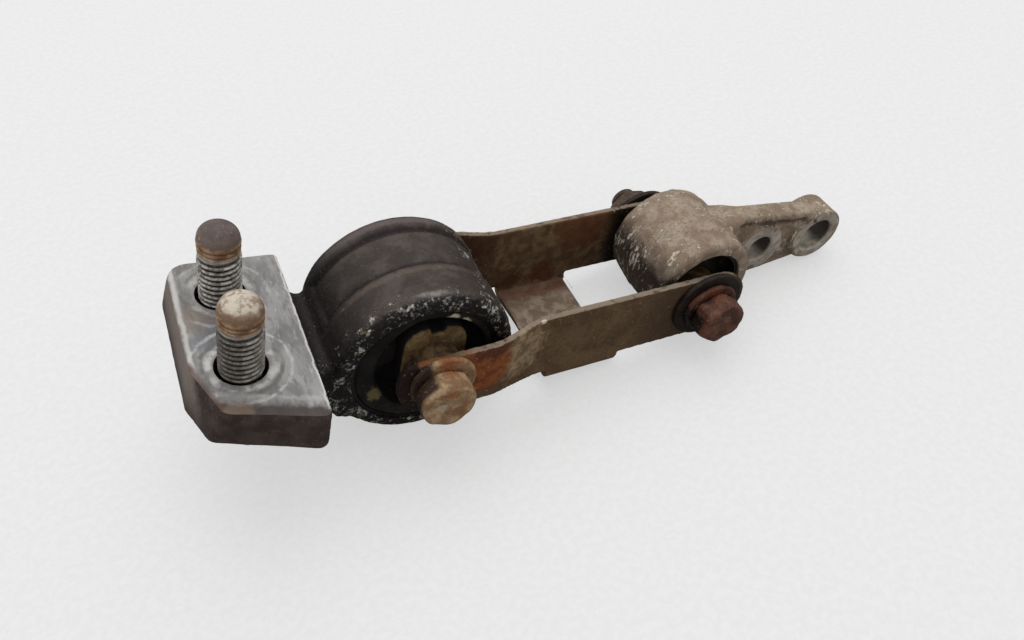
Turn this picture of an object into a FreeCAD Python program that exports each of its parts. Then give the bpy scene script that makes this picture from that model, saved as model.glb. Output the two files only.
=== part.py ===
import FreeCAD, Part

import math
import os
import re

import Sketcher

# Transmission mount: a cast flange housing with a large rubber bush, a folded
# steel link, and a cast arm bracket with a small rubber bush.
# X runs along the link from the flange to the arm, Y along the bush axes and
# Z up from the surface the mount lies on. Sizes are millimetres and degrees.

SIZES = [
    # where the three main pieces lie
    ("ring_from_origin", -50.32),
    ("side_shift", -0.06),
    ("flange_tilt", 13.5),
    ("link_slope", 7.1),
    ("link_length", 96.5),
    ("small_bolt_drop", 2.5),
    ("arm_slope", 7.1),
    ("eye_shift_along", 1.4),
    ("eye_shift_up", 2.6),
    ("eye_shift_forward", 1.05),
    ("core_shift_along", 1.1),
    ("core_shift_up", 3.5),
    # flange housing
    ("ring_radius", 28.1),
    ("ring_width", 36.8),
    ("ring_wall", 4.9),
    ("ring_edge_front", 2.6),
    ("ring_edge_back", 1.5),
    ("groove_depth", 0.8),
    ("groove_half_width", 1.1),
    ("mid_groove_from_front", 15.2),
    ("back_groove_from_back", 5.8),
    ("flange_top", 9.9),
    ("flange_thickness", 12.8),
    ("flange_foot_spread", 1.8),
    ("flange_foot_setback", 0.5),
    ("flange_foot_skew", 9.2),
    ("flange_foot_cut_along", 4.0),
    ("flange_foot_cut_across", 11.7),
    ("flange_inner_edge", 33.6),
    ("flange_width", 32.6),
    ("flange_back", 28.9),
    ("flange_front", 37.9),
    ("flange_front_skew", 8.0),
    ("flange_cut_along", 5.6),
    ("flange_cut_across", 16.0),
    ("flange_corner", 6.5),
    ("flange_small_corner", 2.4),
    ("flange_lower_edge", 1.5),
    ("neck_front", 18.0),
    ("neck_back", 17.0),
    ("neck_drop", 4.2),
    ("neck_foot", 6.0),
    ("neck_foot_drop", 19.5),
    ("neck_foot_reach", 25.6),
    ("neck_knee_along", 31.6),
    ("neck_knee_drop", 9.75),
    ("neck_side_drop", 16.8),
    ("neck_toe_along", 19.1),
    ("neck_toe_drop", 20.6),
    ("flange_bolt_line", 52.6),
    ("flange_bolt_spacing", 28.4),
    ("flange_hole_gap", 1.1),
    # flange bolts
    ("flange_bolt_diameter", 12.0),
    ("flange_bolt_reach", 25.0),
    ("flange_bolt_shank_step", 0.6),
    ("flange_bolt_pilot_length", 7.6),
    ("flange_bolt_pilot_step", 0.5),
    ("flange_bolt_neck_length", 1.4),
    ("flange_bolt_neck_step", 0.9),
    ("flange_bolt_dome", 3.6),
    ("flange_head_across", 18.0),
    ("flange_head_height", 7.5),
    ("flange_washer_radius", 12.0),
    ("flange_washer_thickness", 2.5),
    # large bush
    ("large_sleeve_wall", 1.2),
    ("large_sleeve_inset", 0.8),
    ("lining_thickness", 2.6),
    ("lining_inset", 1.2),
    ("rubber_arm_height", 13.0),
    ("rubber_arm_inset", 6.0),
    ("core_width", 19.4),
    ("core_height", 26.6),
    ("core_length", 38.4),
    ("core_notch_width", 4.6),
    ("core_notch_depth", 2.0),
    ("core_corner", 7.0),
    ("spacer_clearance", 0.03),
    ("large_spacer_wall", 1.7),
    ("bolt_clearance", 0.25),
    ("nut_clearance", 0.02),
    # link frame
    ("sheet", 2.6),
    ("link_outer_width", 43.2),
    ("flare_outer_width", 53.6),
    ("flare_end", 23.5),
    ("flare_start", 37.0),
    ("flare_bend", 7.0),
    ("ring_end_radius", 13.6),
    ("ring_end_drop", 0.9),
    ("ring_end_shoulder", 6.0),
    ("link_top", 8.2),
    ("link_bottom", 17.2),
    ("link_lip_end", 30.0),
    ("web_bottom", 22.4),
    ("web_start", 39.0),
    ("web_end", 65.8),
    ("web_bend", 3.6),
    ("web_inner_bend", 1.8),
    ("relief_near", 3.2),
    ("relief_far", 8.0),
    ("link_far_reach", 16.2),
    # large cross bolt
    ("large_bolt_diameter", 12.0),
    ("large_head_across", 15.8),
    ("large_head_height", 7.6),
    ("large_head_flange", 10.4),
    ("head_flange_thickness", 2.0),
    ("large_washer_radius", 11.6),
    ("washer_thickness", 2.0),
    ("large_nut_height", 6.4),
    ("large_bolt_end", 2.0),
    # small cross bolt
    ("small_bolt_diameter", 10.0),
    ("small_head_across", 14.2),
    ("small_head_height", 7.6),
    ("small_head_flange", 10.0),
    ("small_washer_radius", 12.9),
    ("small_nut_height", 8.0),
    ("small_bolt_end", 4.2),
    ("hex_bevel_start", 0.2),
    ("hex_bevel_reach", 1.1),
    ("hex_bevel_drop", 2.2),
    ("head_corner", 3.5),
    # small bush
    ("eye_radius", 18.1),
    ("eye_width", 32.9),
    ("eye_wall", 4.2),
    ("eye_crown", 0.7),
    ("eye_crown_front", 6.6),
    ("eye_crown_back", 4.9),
    ("eye_edge_back", 3.4),
    ("eye_edge_front", 1.4),
    ("small_sleeve_wall", 1.2),
    ("small_sleeve_inset", 1.2),
    ("small_rubber_inset", 4.5),
    ("small_spacer_wall", 2.4),
    # arm bracket
    ("arm_thickness", 9.0),
    ("arm_root_half", 17.0),
    ("arm_root_angle", 34),
    ("arm_root_at", 8.0),
    ("arm_end_half", 10.9),
    ("arm_taper_half", 9.6),
    ("first_hole_at", 31.2),
    ("second_hole_at", 57.4),
    ("first_hole_radius", 5.25),
    ("second_hole_radius", 6.7),
    ("first_boss_radius", 10.0),
    ("boss_height", 1.3),
    ("end_boss_back", 1.6),
]


def make_sheet(document):
    """One row for each size: its name in column A, its number in column B."""
    sheet = document.addObject("Spreadsheet::Sheet", "Sizes")
    for row, (alias, number) in enumerate(SIZES, start=1):
        sheet.set(f"A{row}", alias)
        sheet.set(f"B{row}", str(number))
        sheet.setAlias(f"B{row}", alias)
    document.recompute()
    return sheet


document = FreeCAD.newDocument("transmission_mount")
sheet = make_sheet(document)
nodes = []


def size(alias):
    """The number in one cell of the sheet."""
    return float(sheet.get(alias))


def scaled(expression):
    """An expression with every size name turned into a cell of the sheet."""
    names = {alias for alias, _ in SIZES}
    return re.sub("[a-z_]+", lambda word: "Sizes." + word[0] if word[0] in names else word[0], expression)


def bind(target, prop, expression):
    """Ties one property or constraint to an expression of the sheet's sizes."""
    target.setExpression(prop, scaled(expression))


# Places

HOUSING = {"along": "ring_from_origin", "up": "ring_radius", "turn": "flange_tilt"}
CORE = {"along": "ring_from_origin + core_shift_along * cos( flange_tilt * 1deg )"
                 " + core_shift_up * sin( flange_tilt * 1deg )",
        "up": "ring_radius - core_shift_along * sin( flange_tilt * 1deg )"
              " + core_shift_up * cos( flange_tilt * 1deg )",
        "turn": "flange_tilt"}
LINK = {"along": CORE["along"], "up": CORE["up"], "turn": "link_slope"}
FAR_END = {"along": CORE["along"] + " + link_length * cos( link_slope * 1deg )"
                    " - small_bolt_drop * sin( link_slope * 1deg )",
           "up": CORE["up"] + " - link_length * sin( link_slope * 1deg )"
                 " - small_bolt_drop * cos( link_slope * 1deg )"}
LINK_FAR = dict(FAR_END, turn="link_slope")
ARM = {"along": FAR_END["along"] + " + eye_shift_along * cos( arm_slope * 1deg )"
                " + eye_shift_up * sin( arm_slope * 1deg )",
       "across": "-1 * eye_shift_forward",
       "up": FAR_END["up"] + " - eye_shift_along * sin( arm_slope * 1deg )"
             " + eye_shift_up * cos( arm_slope * 1deg )",
       "turn": "arm_slope"}


def new_body(name, place):
    """A body whose frame has its Y axis along a bush axis, turned about it by a slope."""
    body = document.addObject("PartDesign::Body", name)
    body.Label = name
    body.Placement = FreeCAD.Placement(FreeCAD.Vector(), FreeCAD.Rotation(FreeCAD.Vector(0, 1, 0), 1))
    bind(body, ".Placement.Base.x", place["along"])
    bind(body, ".Placement.Base.y", "side_shift + " + place.get("across", "0"))
    bind(body, ".Placement.Base.z", place["up"])
    bind(body, ".Placement.Rotation.Angle", place["turn"])
    nodes.append(body)
    return body


# Sketches

def new_sketch(body, role, offset="0"):
    """A sketch on one of the body's own planes, moved out along the plane's normal."""
    plane = next(part for part in body.Origin.OriginFeatures if part.Role == role)
    sketch = body.newObject("Sketcher::SketchObject", body.Name + "_sketch")
    sketch.AttachmentSupport = [(plane, "")]
    sketch.MapMode = "FlatFace"
    bind(sketch, ".AttachmentOffset.Base.z", offset)
    return sketch


def pin_point(sketch, curve, point, across, up):
    """Fixes one point of a curve by its two distances from the sketch's origin."""
    for kind, expression in (("DistanceX", across), ("DistanceY", up)):
        index = sketch.addConstraint(Sketcher.Constraint(kind, curve, point, 1.0))
        bind(sketch, f"Constraints[{index}]", expression)


def add_polygon(sketch, corners):
    """A closed outline of straight lines through the corners, each a pair of expressions."""
    first = sketch.GeometryCount
    count = len(corners)
    turn = 2 * math.pi / count
    ring = [FreeCAD.Vector(math.cos(k * turn), math.sin(k * turn), 0) for k in range(count)]
    for k in range(count):
        sketch.addGeometry(Part.LineSegment(ring[k], ring[(k + 1) % count]), False)
    for k in range(count):
        following = first + (k + 1) % count
        sketch.addConstraint(Sketcher.Constraint("Coincident", first + k, 2, following, 1))
    for k, (across, up) in enumerate(corners):
        pin_point(sketch, first + k, 1, across, up)


def add_circle(sketch, across, up, radius):
    """A circle with its centre and radius given as expressions."""
    index = sketch.GeometryCount
    sketch.addGeometry(Part.Circle(FreeCAD.Vector(), FreeCAD.Vector(0, 0, 1), 1.0), False)
    pin_point(sketch, index, 3, across, up)
    constraint = sketch.addConstraint(Sketcher.Constraint("Radius", index, 1.0))
    bind(sketch, f"Constraints[{constraint}]", radius)


def add_hexagon(sketch, across_flats):
    """A regular hexagon about the origin, two of its corners on the first axis."""
    reach = f"( {across_flats} ) / sqrt(3)"
    half = f"( {across_flats} ) / 2"
    add_polygon(sketch, [(reach, "0"), (f"{reach} / 2", half), (f"-1 * {reach} / 2", half),
                         (f"-1 * {reach}", "0"), (f"-1 * {reach} / 2", f"-1 * {half}"),
                         (f"{reach} / 2", f"-1 * {half}")])


# Features

def extrude(body, sketch, length=None, kind="PartDesign::Pad", midplane=False, reverse=False):
    """Pads or pockets a sketch along its normal, or right through where no length is given."""
    feature = body.newObject(kind, body.Name + "_extrude")
    feature.Profile = sketch
    feature.Midplane = midplane
    feature.Reversed = reverse
    if length:
        bind(feature, "Length", length)
    else:
        feature.Type = "ThroughAll"
    document.recompute()
    return feature


def cut_through(body, sketch):
    """Pockets a sketch through the whole body on both sides of its plane."""
    return extrude(body, sketch, kind="PartDesign::Pocket", midplane=True)


def revolve(body, sketch, kind="PartDesign::Revolution"):
    """Turns a sketch once about its own vertical axis."""
    feature = body.newObject(kind, body.Name + "_turned")
    feature.Profile = sketch
    feature.ReferenceAxis = (sketch, ["V_Axis"])
    feature.Angle = 360
    document.recompute()
    return feature


def round_edges(body, amount, test):
    """Rounds the edges of the body's last feature whose points all pass a test."""
    base = body.Tip
    names = []
    for index, edge in enumerate(base.Shape.Edges, start=1):
        if all(test(point) for point in edge.discretize(5)):
            names.append(f"Edge{index}")
    feature = body.newObject("PartDesign::Fillet", body.Name + "_round")
    feature.Base = (base, names)
    bind(feature, "Radius", amount)
    document.recompute()
    return feature


def near(number, target, slack=0.05):
    return abs(number - target) < slack


def turned_ring(name, place, inner, outer, half_width):
    """A plain tube about the Y axis, centred in its width."""
    body = new_body(name, place)
    sketch = new_sketch(body, "XY_Plane")
    low = f"-1 * ( {half_width} )"
    add_polygon(sketch, [(inner, low), (outer, low), (outer, half_width), (inner, half_width)])
    revolve(body, sketch)
    return body


# Flange housing

BORE = "( ring_radius - ring_wall )"
FLANGE_OUTER = "( flange_inner_edge + flange_width )"
FLANGE_BOTTOM = "( flange_top - flange_thickness )"


def add_ring(body):
    """The ring round the large bush: two shallow grooves part it into a front band,
    a middle band and a raised lip at the back."""
    front = "( ring_width / 2 )"
    profile = [(BORE, f"-1 * {front}"), ("ring_radius", f"-1 * {front}")]
    for middle in (f"mid_groove_from_front - {front}", f"{front} - back_groove_from_back"):
        profile += [("ring_radius", f"{middle} - groove_half_width"),
                    ("ring_radius - groove_depth", middle),
                    ("ring_radius", f"{middle} + groove_half_width")]
    profile += [("ring_radius", front), (BORE, front)]
    sketch = new_sketch(body, "XY_Plane")
    add_polygon(sketch, profile)
    revolve(body, sketch)
    half = size("ring_width") / 2
    radius = size("ring_radius")
    for side, amount in ((-1, "ring_edge_front"), (1, "ring_edge_back")):
        round_edges(body, amount, lambda point: near(point.y, side * half)
                    and math.hypot(point.x, point.z) > radius - 0.1)


def add_neck(body):
    """The neck that joins the ring to the flange, with a deep foot under the flange."""
    top = "( flange_top - neck_drop )"
    mid_wall = "( ring_radius - ring_wall / 2 )"
    root = "( flange_inner_edge + neck_foot )"
    sketch = new_sketch(body, "XZ_Plane", "neck_front")
    add_polygon(sketch, [(f"-1 * {root}", top),
                         (f"-1 * sqrt( {mid_wall} ^ 2 - {top} ^ 2 )", top),
                         (f"-1 * {mid_wall}", "0"),
                         (f"-1 * sqrt( {mid_wall} ^ 2 - neck_side_drop ^ 2 )", "-1 * neck_side_drop"),
                         ("-1 * neck_toe_along", "-1 * neck_toe_drop"),
                         ("-1 * neck_foot_reach", "-1 * neck_foot_drop"),
                         ("-1 * neck_knee_along", "-1 * neck_knee_drop"),
                         (f"-1 * {root}", FLANGE_BOTTOM)])
    extrude(body, sketch, "neck_front + neck_back", reverse=True)


def flange_outline(body, height, spread, setback, skew, cut):
    """One level of the flange: five corners, the front outer one cut off at a slant."""
    inner = "-1 * flange_inner_edge"
    outer = f"( -1 * {FLANGE_OUTER} - {spread} )"
    back = f"flange_back + {spread}"
    front = f"( {setback} - flange_front )"
    cut_along, cut_across = cut
    sketch = new_sketch(body, "XY_Plane", height)
    add_polygon(sketch, [(inner, front), (inner, back), (outer, back),
                         (outer, f"{front} + {skew} + {cut_across}"),
                         (f"{outer} + {cut_along}", f"{front} + {skew}")])
    return sketch


def add_flange(body):
    """The bolted plate, drawn out a little towards its underside at the left and back."""
    upper = flange_outline(body, "flange_top", "0", "0", "flange_front_skew",
                           ("flange_cut_along", "flange_cut_across"))
    lower = flange_outline(body, FLANGE_BOTTOM, "flange_foot_spread", "flange_foot_setback",
                           "flange_foot_skew", ("flange_foot_cut_along", "flange_foot_cut_across"))
    plate = body.newObject("PartDesign::AdditiveLoft", body.Name + "_plate")
    plate.Profile = upper
    plate.Sections = [lower]
    plate.Ruled = True
    document.recompute()


def round_flange(body):
    """Rounds the flange's upright corners, then its lower edge all round."""
    bottom = size("flange_top") - size("flange_thickness")
    spread = size("flange_foot_spread")
    inner = -size("flange_inner_edge")
    outer = inner - size("flange_width")
    front = -size("flange_front")
    back = size("flange_back")
    cut_front = front + size("flange_front_skew")
    small = [(inner, front), (inner, back), (outer + size("flange_cut_along"), cut_front),
             (outer, cut_front + size("flange_cut_across"))]

    def beside(point, corners):
        reach = 2 * size("flange_small_corner")
        return any(math.hypot(point.x - x, point.y - y) < reach for x, y in corners)

    round_edges(body, "flange_corner", lambda point: beside(point, [(outer, back)]))
    round_edges(body, "flange_small_corner", lambda point: beside(point, small)
                and point.z > bottom - 0.01)
    round_edges(body, "flange_lower_edge", lambda point: near(point.z, bottom)
                and point.x < inner - spread)


def add_flange_holes(body):
    sketch = new_sketch(body, "XY_Plane")
    radius = "flange_bolt_diameter / 2 + flange_hole_gap"
    for side in ("0.5", "-0.5"):
        add_circle(sketch, "-1 * flange_bolt_line", f"{side} * flange_bolt_spacing", radius)
    cut_through(body, sketch)


def make_flange_housing():
    body = new_body("flange_housing", HOUSING)
    add_ring(body)
    add_flange(body)
    round_flange(body)
    add_neck(body)
    add_flange_holes(body)


# Fasteners

def add_hexagon_block(body, plane, seat, across, height, reverse=False):
    """A hexagon head or nut, grown away from its seat along the plane's normal."""
    sketch = new_sketch(body, plane, seat)
    add_hexagon(sketch, across)
    return extrude(body, sketch, height, reverse=reverse)


def bevel_hexagon(body, plane, across, end, inwards):
    """Takes the corners off one end of a hexagon, as on a turned bar."""
    flat = f"( {across} ) / 2"
    far = f"( ( {across} ) / sqrt( 3 ) + hex_bevel_reach )"
    sketch = new_sketch(body, plane)
    add_polygon(sketch, [(f"{flat} - hex_bevel_start", end), (far, end),
                         (far, f"{end} + {inwards} * hex_bevel_drop")])
    revolve(body, sketch, "PartDesign::Groove")


def add_disc(body, plane, seat, radius, length, reverse=False, at=("0", "0")):
    """A round pad on a plane of the body."""
    sketch = new_sketch(body, plane, seat)
    add_circle(sketch, at[0], at[1], radius)
    return extrude(body, sketch, length, reverse=reverse)


def flange_bolt_place(side):
    """A bolt's own frame: on the flange's underside, its Z axis out of the top face."""
    turn = "flange_tilt * 1deg"
    back = "( -1 * flange_bolt_line )"
    return {"along": f"ring_from_origin + {back} * cos( {turn} ) + {FLANGE_BOTTOM} * sin( {turn} )",
            "across": f"{side} * flange_bolt_spacing",
            "up": f"ring_radius - {back} * sin( {turn} ) + {FLANGE_BOTTOM} * cos( {turn} )",
            "turn": "flange_tilt"}


def make_flange_bolt(name, side):
    """A hex bolt up through the flange: shank, thread neck, pilot with a domed tip."""
    body = new_body(name, flange_bolt_place(side))
    radius = "( flange_bolt_diameter / 2 )"
    tip = "( flange_thickness + flange_bolt_reach )"
    pilot = f"( {tip} - flange_bolt_pilot_length )"
    neck = f"( {pilot} - flange_bolt_neck_length )"
    seat = "-1 * flange_washer_thickness"
    sketch = new_sketch(body, "XZ_Plane")
    add_polygon(sketch, [("0", seat), (f"{radius} - flange_bolt_shank_step", seat),
                         (f"{radius} - flange_bolt_shank_step", "flange_thickness"),
                         (radius, "flange_thickness"), (radius, neck),
                         (f"{radius} - flange_bolt_neck_step", neck),
                         (f"{radius} - flange_bolt_neck_step", pilot),
                         (f"{radius} - flange_bolt_pilot_step", pilot),
                         (f"{radius} - flange_bolt_pilot_step", tip), ("0", tip)])
    revolve(body, sketch)
    top = size("flange_thickness") + size("flange_bolt_reach")
    round_edges(body, "flange_bolt_dome", lambda point: near(point.z, top)
                and math.hypot(point.x, point.y) > size("flange_bolt_dome"))
    add_hexagon_block(body, "XY_Plane", seat, "flange_head_across", "flange_head_height", reverse=True)
    bevel_hexagon(body, "XZ_Plane", "flange_head_across", f"{seat} - flange_head_height", "1")


def make_flange_washer(name, side):
    body = new_body(name, flange_bolt_place(side))
    sketch = new_sketch(body, "XZ_Plane")
    inner = "flange_bolt_diameter / 2 + bolt_clearance"
    add_polygon(sketch, [(inner, "-1 * flange_washer_thickness"),
                         ("flange_washer_radius", "-1 * flange_washer_thickness"),
                         ("flange_washer_radius", "0"), (inner, "0")])
    revolve(body, sketch)


def make_cross_bolt(name, place, diameter, across, height, flange, seat, length):
    """A flanged hex bolt along Y: its head is at the front, towards -Y."""
    body = new_body(name, place)
    add_disc(body, "XZ_Plane", seat, flange, "head_flange_thickness")
    add_hexagon_block(body, "XZ_Plane", f"{seat} + head_flange_thickness", across, height)
    corner = size(across) / math.sqrt(3)
    round_edges(body, "head_corner", lambda point: near(math.hypot(point.x, point.z), corner))
    add_disc(body, "XZ_Plane", seat, f"{diameter} / 2", f"{seat} + {length}", reverse=True)
    end = f"-1 * ( {seat} + head_flange_thickness + {height} )"
    bevel_hexagon(body, "XY_Plane", across, end, "1")
    return body


def make_nut(name, place, diameter, across, height, seat):
    """A hex nut on the bolt's rear end; its bore just clears the thread's outer size."""
    body = new_body(name, place)
    sketch = new_sketch(body, "XZ_Plane", f"-1 * ( {seat} )")
    add_hexagon(sketch, across)
    add_circle(sketch, "0", "0", f"{diameter} / 2 + nut_clearance")
    extrude(body, sketch, height, reverse=True)
    bevel_hexagon(body, "XY_Plane", across, f"{seat} + {height}", "-1")
    return body


def make_washer(name, place, diameter, radius, seat, thickness):
    """A plain washer whose rear face is its thickness behind its seat."""
    body = new_body(name, place)
    sketch = new_sketch(body, "XY_Plane")
    inner = f"{diameter} / 2 + bolt_clearance"
    add_polygon(sketch, [(inner, seat), (radius, seat),
                         (radius, f"{seat} + {thickness}"), (inner, f"{seat} + {thickness}")])
    revolve(body, sketch)
    return body


def make_large_fasteners():
    half = "flare_outer_width / 2"
    behind = f"{half} + washer_thickness"
    make_cross_bolt("large_cross_bolt", LINK, "large_bolt_diameter", "large_head_across",
                    "large_head_height", "large_head_flange", half,
                    f"{behind} + large_nut_height + large_bolt_end")
    make_washer("large_bolt_washer", LINK, "large_bolt_diameter", "large_washer_radius",
                half, "washer_thickness")
    make_nut("large_bolt_nut", LINK, "large_bolt_diameter", "large_head_across",
             "large_nut_height", behind)


def make_small_fasteners():
    half = "link_outer_width / 2"
    behind = f"{half} + washer_thickness"
    make_cross_bolt("small_cross_bolt", LINK_FAR, "small_bolt_diameter", "small_head_across",
                    "small_head_height", "small_head_flange", behind,
                    f"{behind} + small_nut_height + small_bolt_end")
    for name, seat in (("small_bolt_washer_front", f"-1 * ( {behind} )"),
                       ("small_bolt_washer_rear", half)):
        make_washer(name, LINK_FAR, "small_bolt_diameter", "small_washer_radius",
                    seat, "washer_thickness")
    make_nut("small_bolt_nut", LINK_FAR, "small_bolt_diameter", "small_head_across",
             "small_nut_height", behind)


# Large bush

LARGE_SPACER = "( large_bolt_diameter / 2 + bolt_clearance + large_spacer_wall )"
SLEEVE_BORE = f"( {BORE} - large_sleeve_wall )"
WIDE = "( ring_radius * 2 )"


def core_outline(sketch):
    """The core's section: a tall block with a notch in the middle of each end."""
    side = "core_width / 2"
    top = "core_height / 2"
    notch = "core_notch_width / 2"
    floor = "( core_height / 2 - core_notch_depth )"
    quarter = [(side, top), (notch, top), (notch, floor)]
    half = quarter + [(f"-1 * {across}", up) for across, up in reversed(quarter)]
    add_polygon(sketch, half + [(f"-1 * ( {across} )", f"-1 * {up}") for across, up in half])


def make_large_bush_sleeve():
    turned_ring("large_bush_sleeve", HOUSING, SLEEVE_BORE, BORE, "ring_width / 2 - large_sleeve_inset")


def make_large_bush_rubber():
    """A lining inside the sleeve and two arms that hold the core between open voids."""
    body = new_body("large_bush_rubber", HOUSING)
    sketch = new_sketch(body, "XZ_Plane")
    low = "core_shift_up - rubber_arm_height / 2"
    high = "core_shift_up + rubber_arm_height / 2"
    add_polygon(sketch, [(f"-1 * {WIDE}", low), (WIDE, low), (WIDE, high), (f"-1 * {WIDE}", high)])
    extrude(body, sketch, "ring_width - 2 * rubber_arm_inset", midplane=True)
    trim = new_sketch(body, "XZ_Plane")
    add_circle(trim, "0", "0", f"{SLEEVE_BORE} - lining_thickness / 2")
    add_circle(trim, "0", "0", f"2 * {WIDE}")
    cut_through(body, trim)
    lining = new_sketch(body, "XY_Plane")
    half = "( ring_width / 2 - lining_inset )"
    inner = f"{SLEEVE_BORE} - lining_thickness"
    add_polygon(lining, [(inner, f"-1 * {half}"), (SLEEVE_BORE, f"-1 * {half}"),
                         (SLEEVE_BORE, half), (inner, half)])
    revolve(body, lining)
    slot = new_sketch(body, "XZ_Plane")
    left = "core_shift_along - core_width / 2"
    right = "core_shift_along + core_width / 2"
    add_polygon(slot, [(left, "-1 * core_height / 2"), (right, "-1 * core_height / 2"),
                       (right, "core_height"), (left, "core_height")])
    extrude(body, slot, "ring_width - 2 * rubber_arm_inset", "PartDesign::Pocket", midplane=True)


def make_large_bush_core():
    """The block that the rubber holds, free to turn on the spacer."""
    body = new_body("large_bush_core", CORE)
    sketch = new_sketch(body, "XZ_Plane")
    core_outline(sketch)
    add_circle(sketch, "0", "0", f"{LARGE_SPACER} + spacer_clearance")
    extrude(body, sketch, "core_length", midplane=True)
    side = size("core_width") / 2
    top = size("core_height") / 2
    round_edges(body, "core_corner", lambda point: near(abs(point.x), side) and near(abs(point.z), top))


def make_large_bush_spacer():
    turned_ring("large_bush_spacer", LINK, "large_bolt_diameter / 2 + bolt_clearance",
                LARGE_SPACER, "flare_outer_width / 2 - sheet")


# Small bush

EYE_BORE = "( eye_radius - eye_wall )"
SMALL_SLEEVE_BORE = f"( {EYE_BORE} - small_sleeve_wall )"
SMALL_SPACER = "( small_bolt_diameter / 2 + bolt_clearance + small_spacer_wall )"


def make_small_bush():
    turned_ring("small_bush_sleeve", ARM, SMALL_SLEEVE_BORE, EYE_BORE,
                "eye_width / 2 - small_sleeve_inset")
    rubber = new_body("small_bush_rubber", ARM)
    sketch = new_sketch(rubber, "XZ_Plane")
    add_circle(sketch, "0", "0", SMALL_SLEEVE_BORE)
    add_circle(sketch, "-1 * eye_shift_along", "-1 * eye_shift_up", f"{SMALL_SPACER} + spacer_clearance")
    extrude(rubber, sketch, "eye_width - 2 * small_rubber_inset", midplane=True)
    turned_ring("small_bush_spacer", LINK_FAR, "small_bolt_diameter / 2 + bolt_clearance",
                SMALL_SPACER, "link_outer_width / 2 - sheet")


# Link frame

LINK_END = "( ( link_top + link_bottom ) / 2 )"
LINK_TIP = "( link_length + link_far_reach )"


def add_side_plate(body, side):
    """One side plate from above: straight beside the small bush, flared beside the ring."""
    sketch = new_sketch(body, "XY_Plane", "-1 * ( web_bottom - web_bend )")
    wide = "( flare_outer_width / 2 )"
    straight = "( link_outer_width / 2 )"
    outer = [("-1 * ring_end_radius", wide), ("flare_end", wide), ("flare_start", straight),
             (LINK_TIP, straight)]
    inner = [(along, f"( {across} - sheet )") for along, across in reversed(outer)]
    add_polygon(sketch, [(along, f"{side} * {across}") for along, across in outer + inner])
    extrude(body, sketch, "web_bottom - web_bend + ring_end_radius")


def round_flare(body):
    """Bends the plates in at both ends of the flare."""
    for along in (size("flare_end"), size("flare_start")):
        round_edges(body, "flare_bend", lambda point: near(point.x, along))


def trim_side_plates(body):
    """Cuts both plates to their outline: a deep round end by the ring, a shallow one far off."""
    top = "( ring_end_radius - ring_end_drop )"
    foot = "-1 * ( ring_end_radius + ring_end_drop )"
    low = "-1 * link_bottom"
    lip = "-1 * ( web_bottom - web_bend )"
    reach = "( link_length + ring_width )"
    sketch = new_sketch(body, "XZ_Plane")
    add_polygon(sketch, [("-1 * ring_end_radius", foot), ("-1 * ring_end_radius", top),
                         ("ring_end_shoulder", top), ("link_lip_end", "link_top"),
                         (LINK_TIP, "link_top"), (LINK_TIP, low), ("web_end + relief_far", low),
                         ("web_end", lip), ("web_start", lip), ("web_start - relief_near", low),
                         ("flare_end", foot)])
    add_polygon(sketch, [(f"-1 * {reach}", f"-1 * {reach}"), (f"2 * {reach}", f"-1 * {reach}"),
                         (f"2 * {reach}", reach), (f"-1 * {reach}", reach)])
    cut_through(body, sketch)


def round_plate_ends(body):
    """Rounds each plate's two ends about its bolts."""
    near_end = -size("ring_end_radius")
    far_end = size("link_length") + size("link_far_reach")
    round_edges(body, "ring_end_radius - 0.05", lambda point: near(point.x, near_end)
                and (near(point.z, size("ring_end_radius") - size("ring_end_drop"))
                     or near(point.z, -size("ring_end_radius") - size("ring_end_drop"))))
    round_edges(body, f"{LINK_END} - 0.05", lambda point: near(point.x, far_end)
                and (near(point.z, size("link_top")) or near(point.z, -size("link_bottom"))))


def add_web(body):
    """The web folded up into both plates, low down between the ring and the small bush."""
    half = "( link_outer_width / 2 )"
    inside = f"( {half} - sheet )"
    bottom = "-1 * web_bottom"
    floor = "( -1 * web_bottom + sheet )"
    rim = "-1 * ( web_bottom - web_bend - sheet )"
    eased = "web_inner_bend * ( 1 - cos( 45deg ) )"
    section = [(half, bottom), (half, rim), (inside, rim)]
    section += [(inside, f"{floor} + web_inner_bend"),
                (f"( {inside} - {eased} )", f"{floor} + {eased}"),
                (f"( {inside} - web_inner_bend )", floor)]
    section += [(f"-1 * {across}", up) for across, up in reversed(section)]
    sketch = new_sketch(body, "YZ_Plane", "web_start")
    add_polygon(sketch, section)
    extrude(body, sketch, "web_end - web_start")
    outer = size("link_outer_width") / 2
    low = -size("web_bottom")
    round_edges(body, "web_bend", lambda point: near(abs(point.y), outer) and near(point.z, low))


def add_link_holes(body):
    sketch = new_sketch(body, "XZ_Plane")
    add_circle(sketch, "0", "0", "large_bolt_diameter / 2 + bolt_clearance")
    add_circle(sketch, "link_length", "-1 * small_bolt_drop", "small_bolt_diameter / 2 + bolt_clearance")
    cut_through(body, sketch)


def make_link_frame():
    body = new_body("link_frame", LINK)
    for side in ("1", "-1"):
        add_side_plate(body, side)
    round_flare(body)
    trim_side_plates(body)
    round_plate_ends(body)
    add_web(body)
    add_link_holes(body)


# Arm bracket

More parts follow.
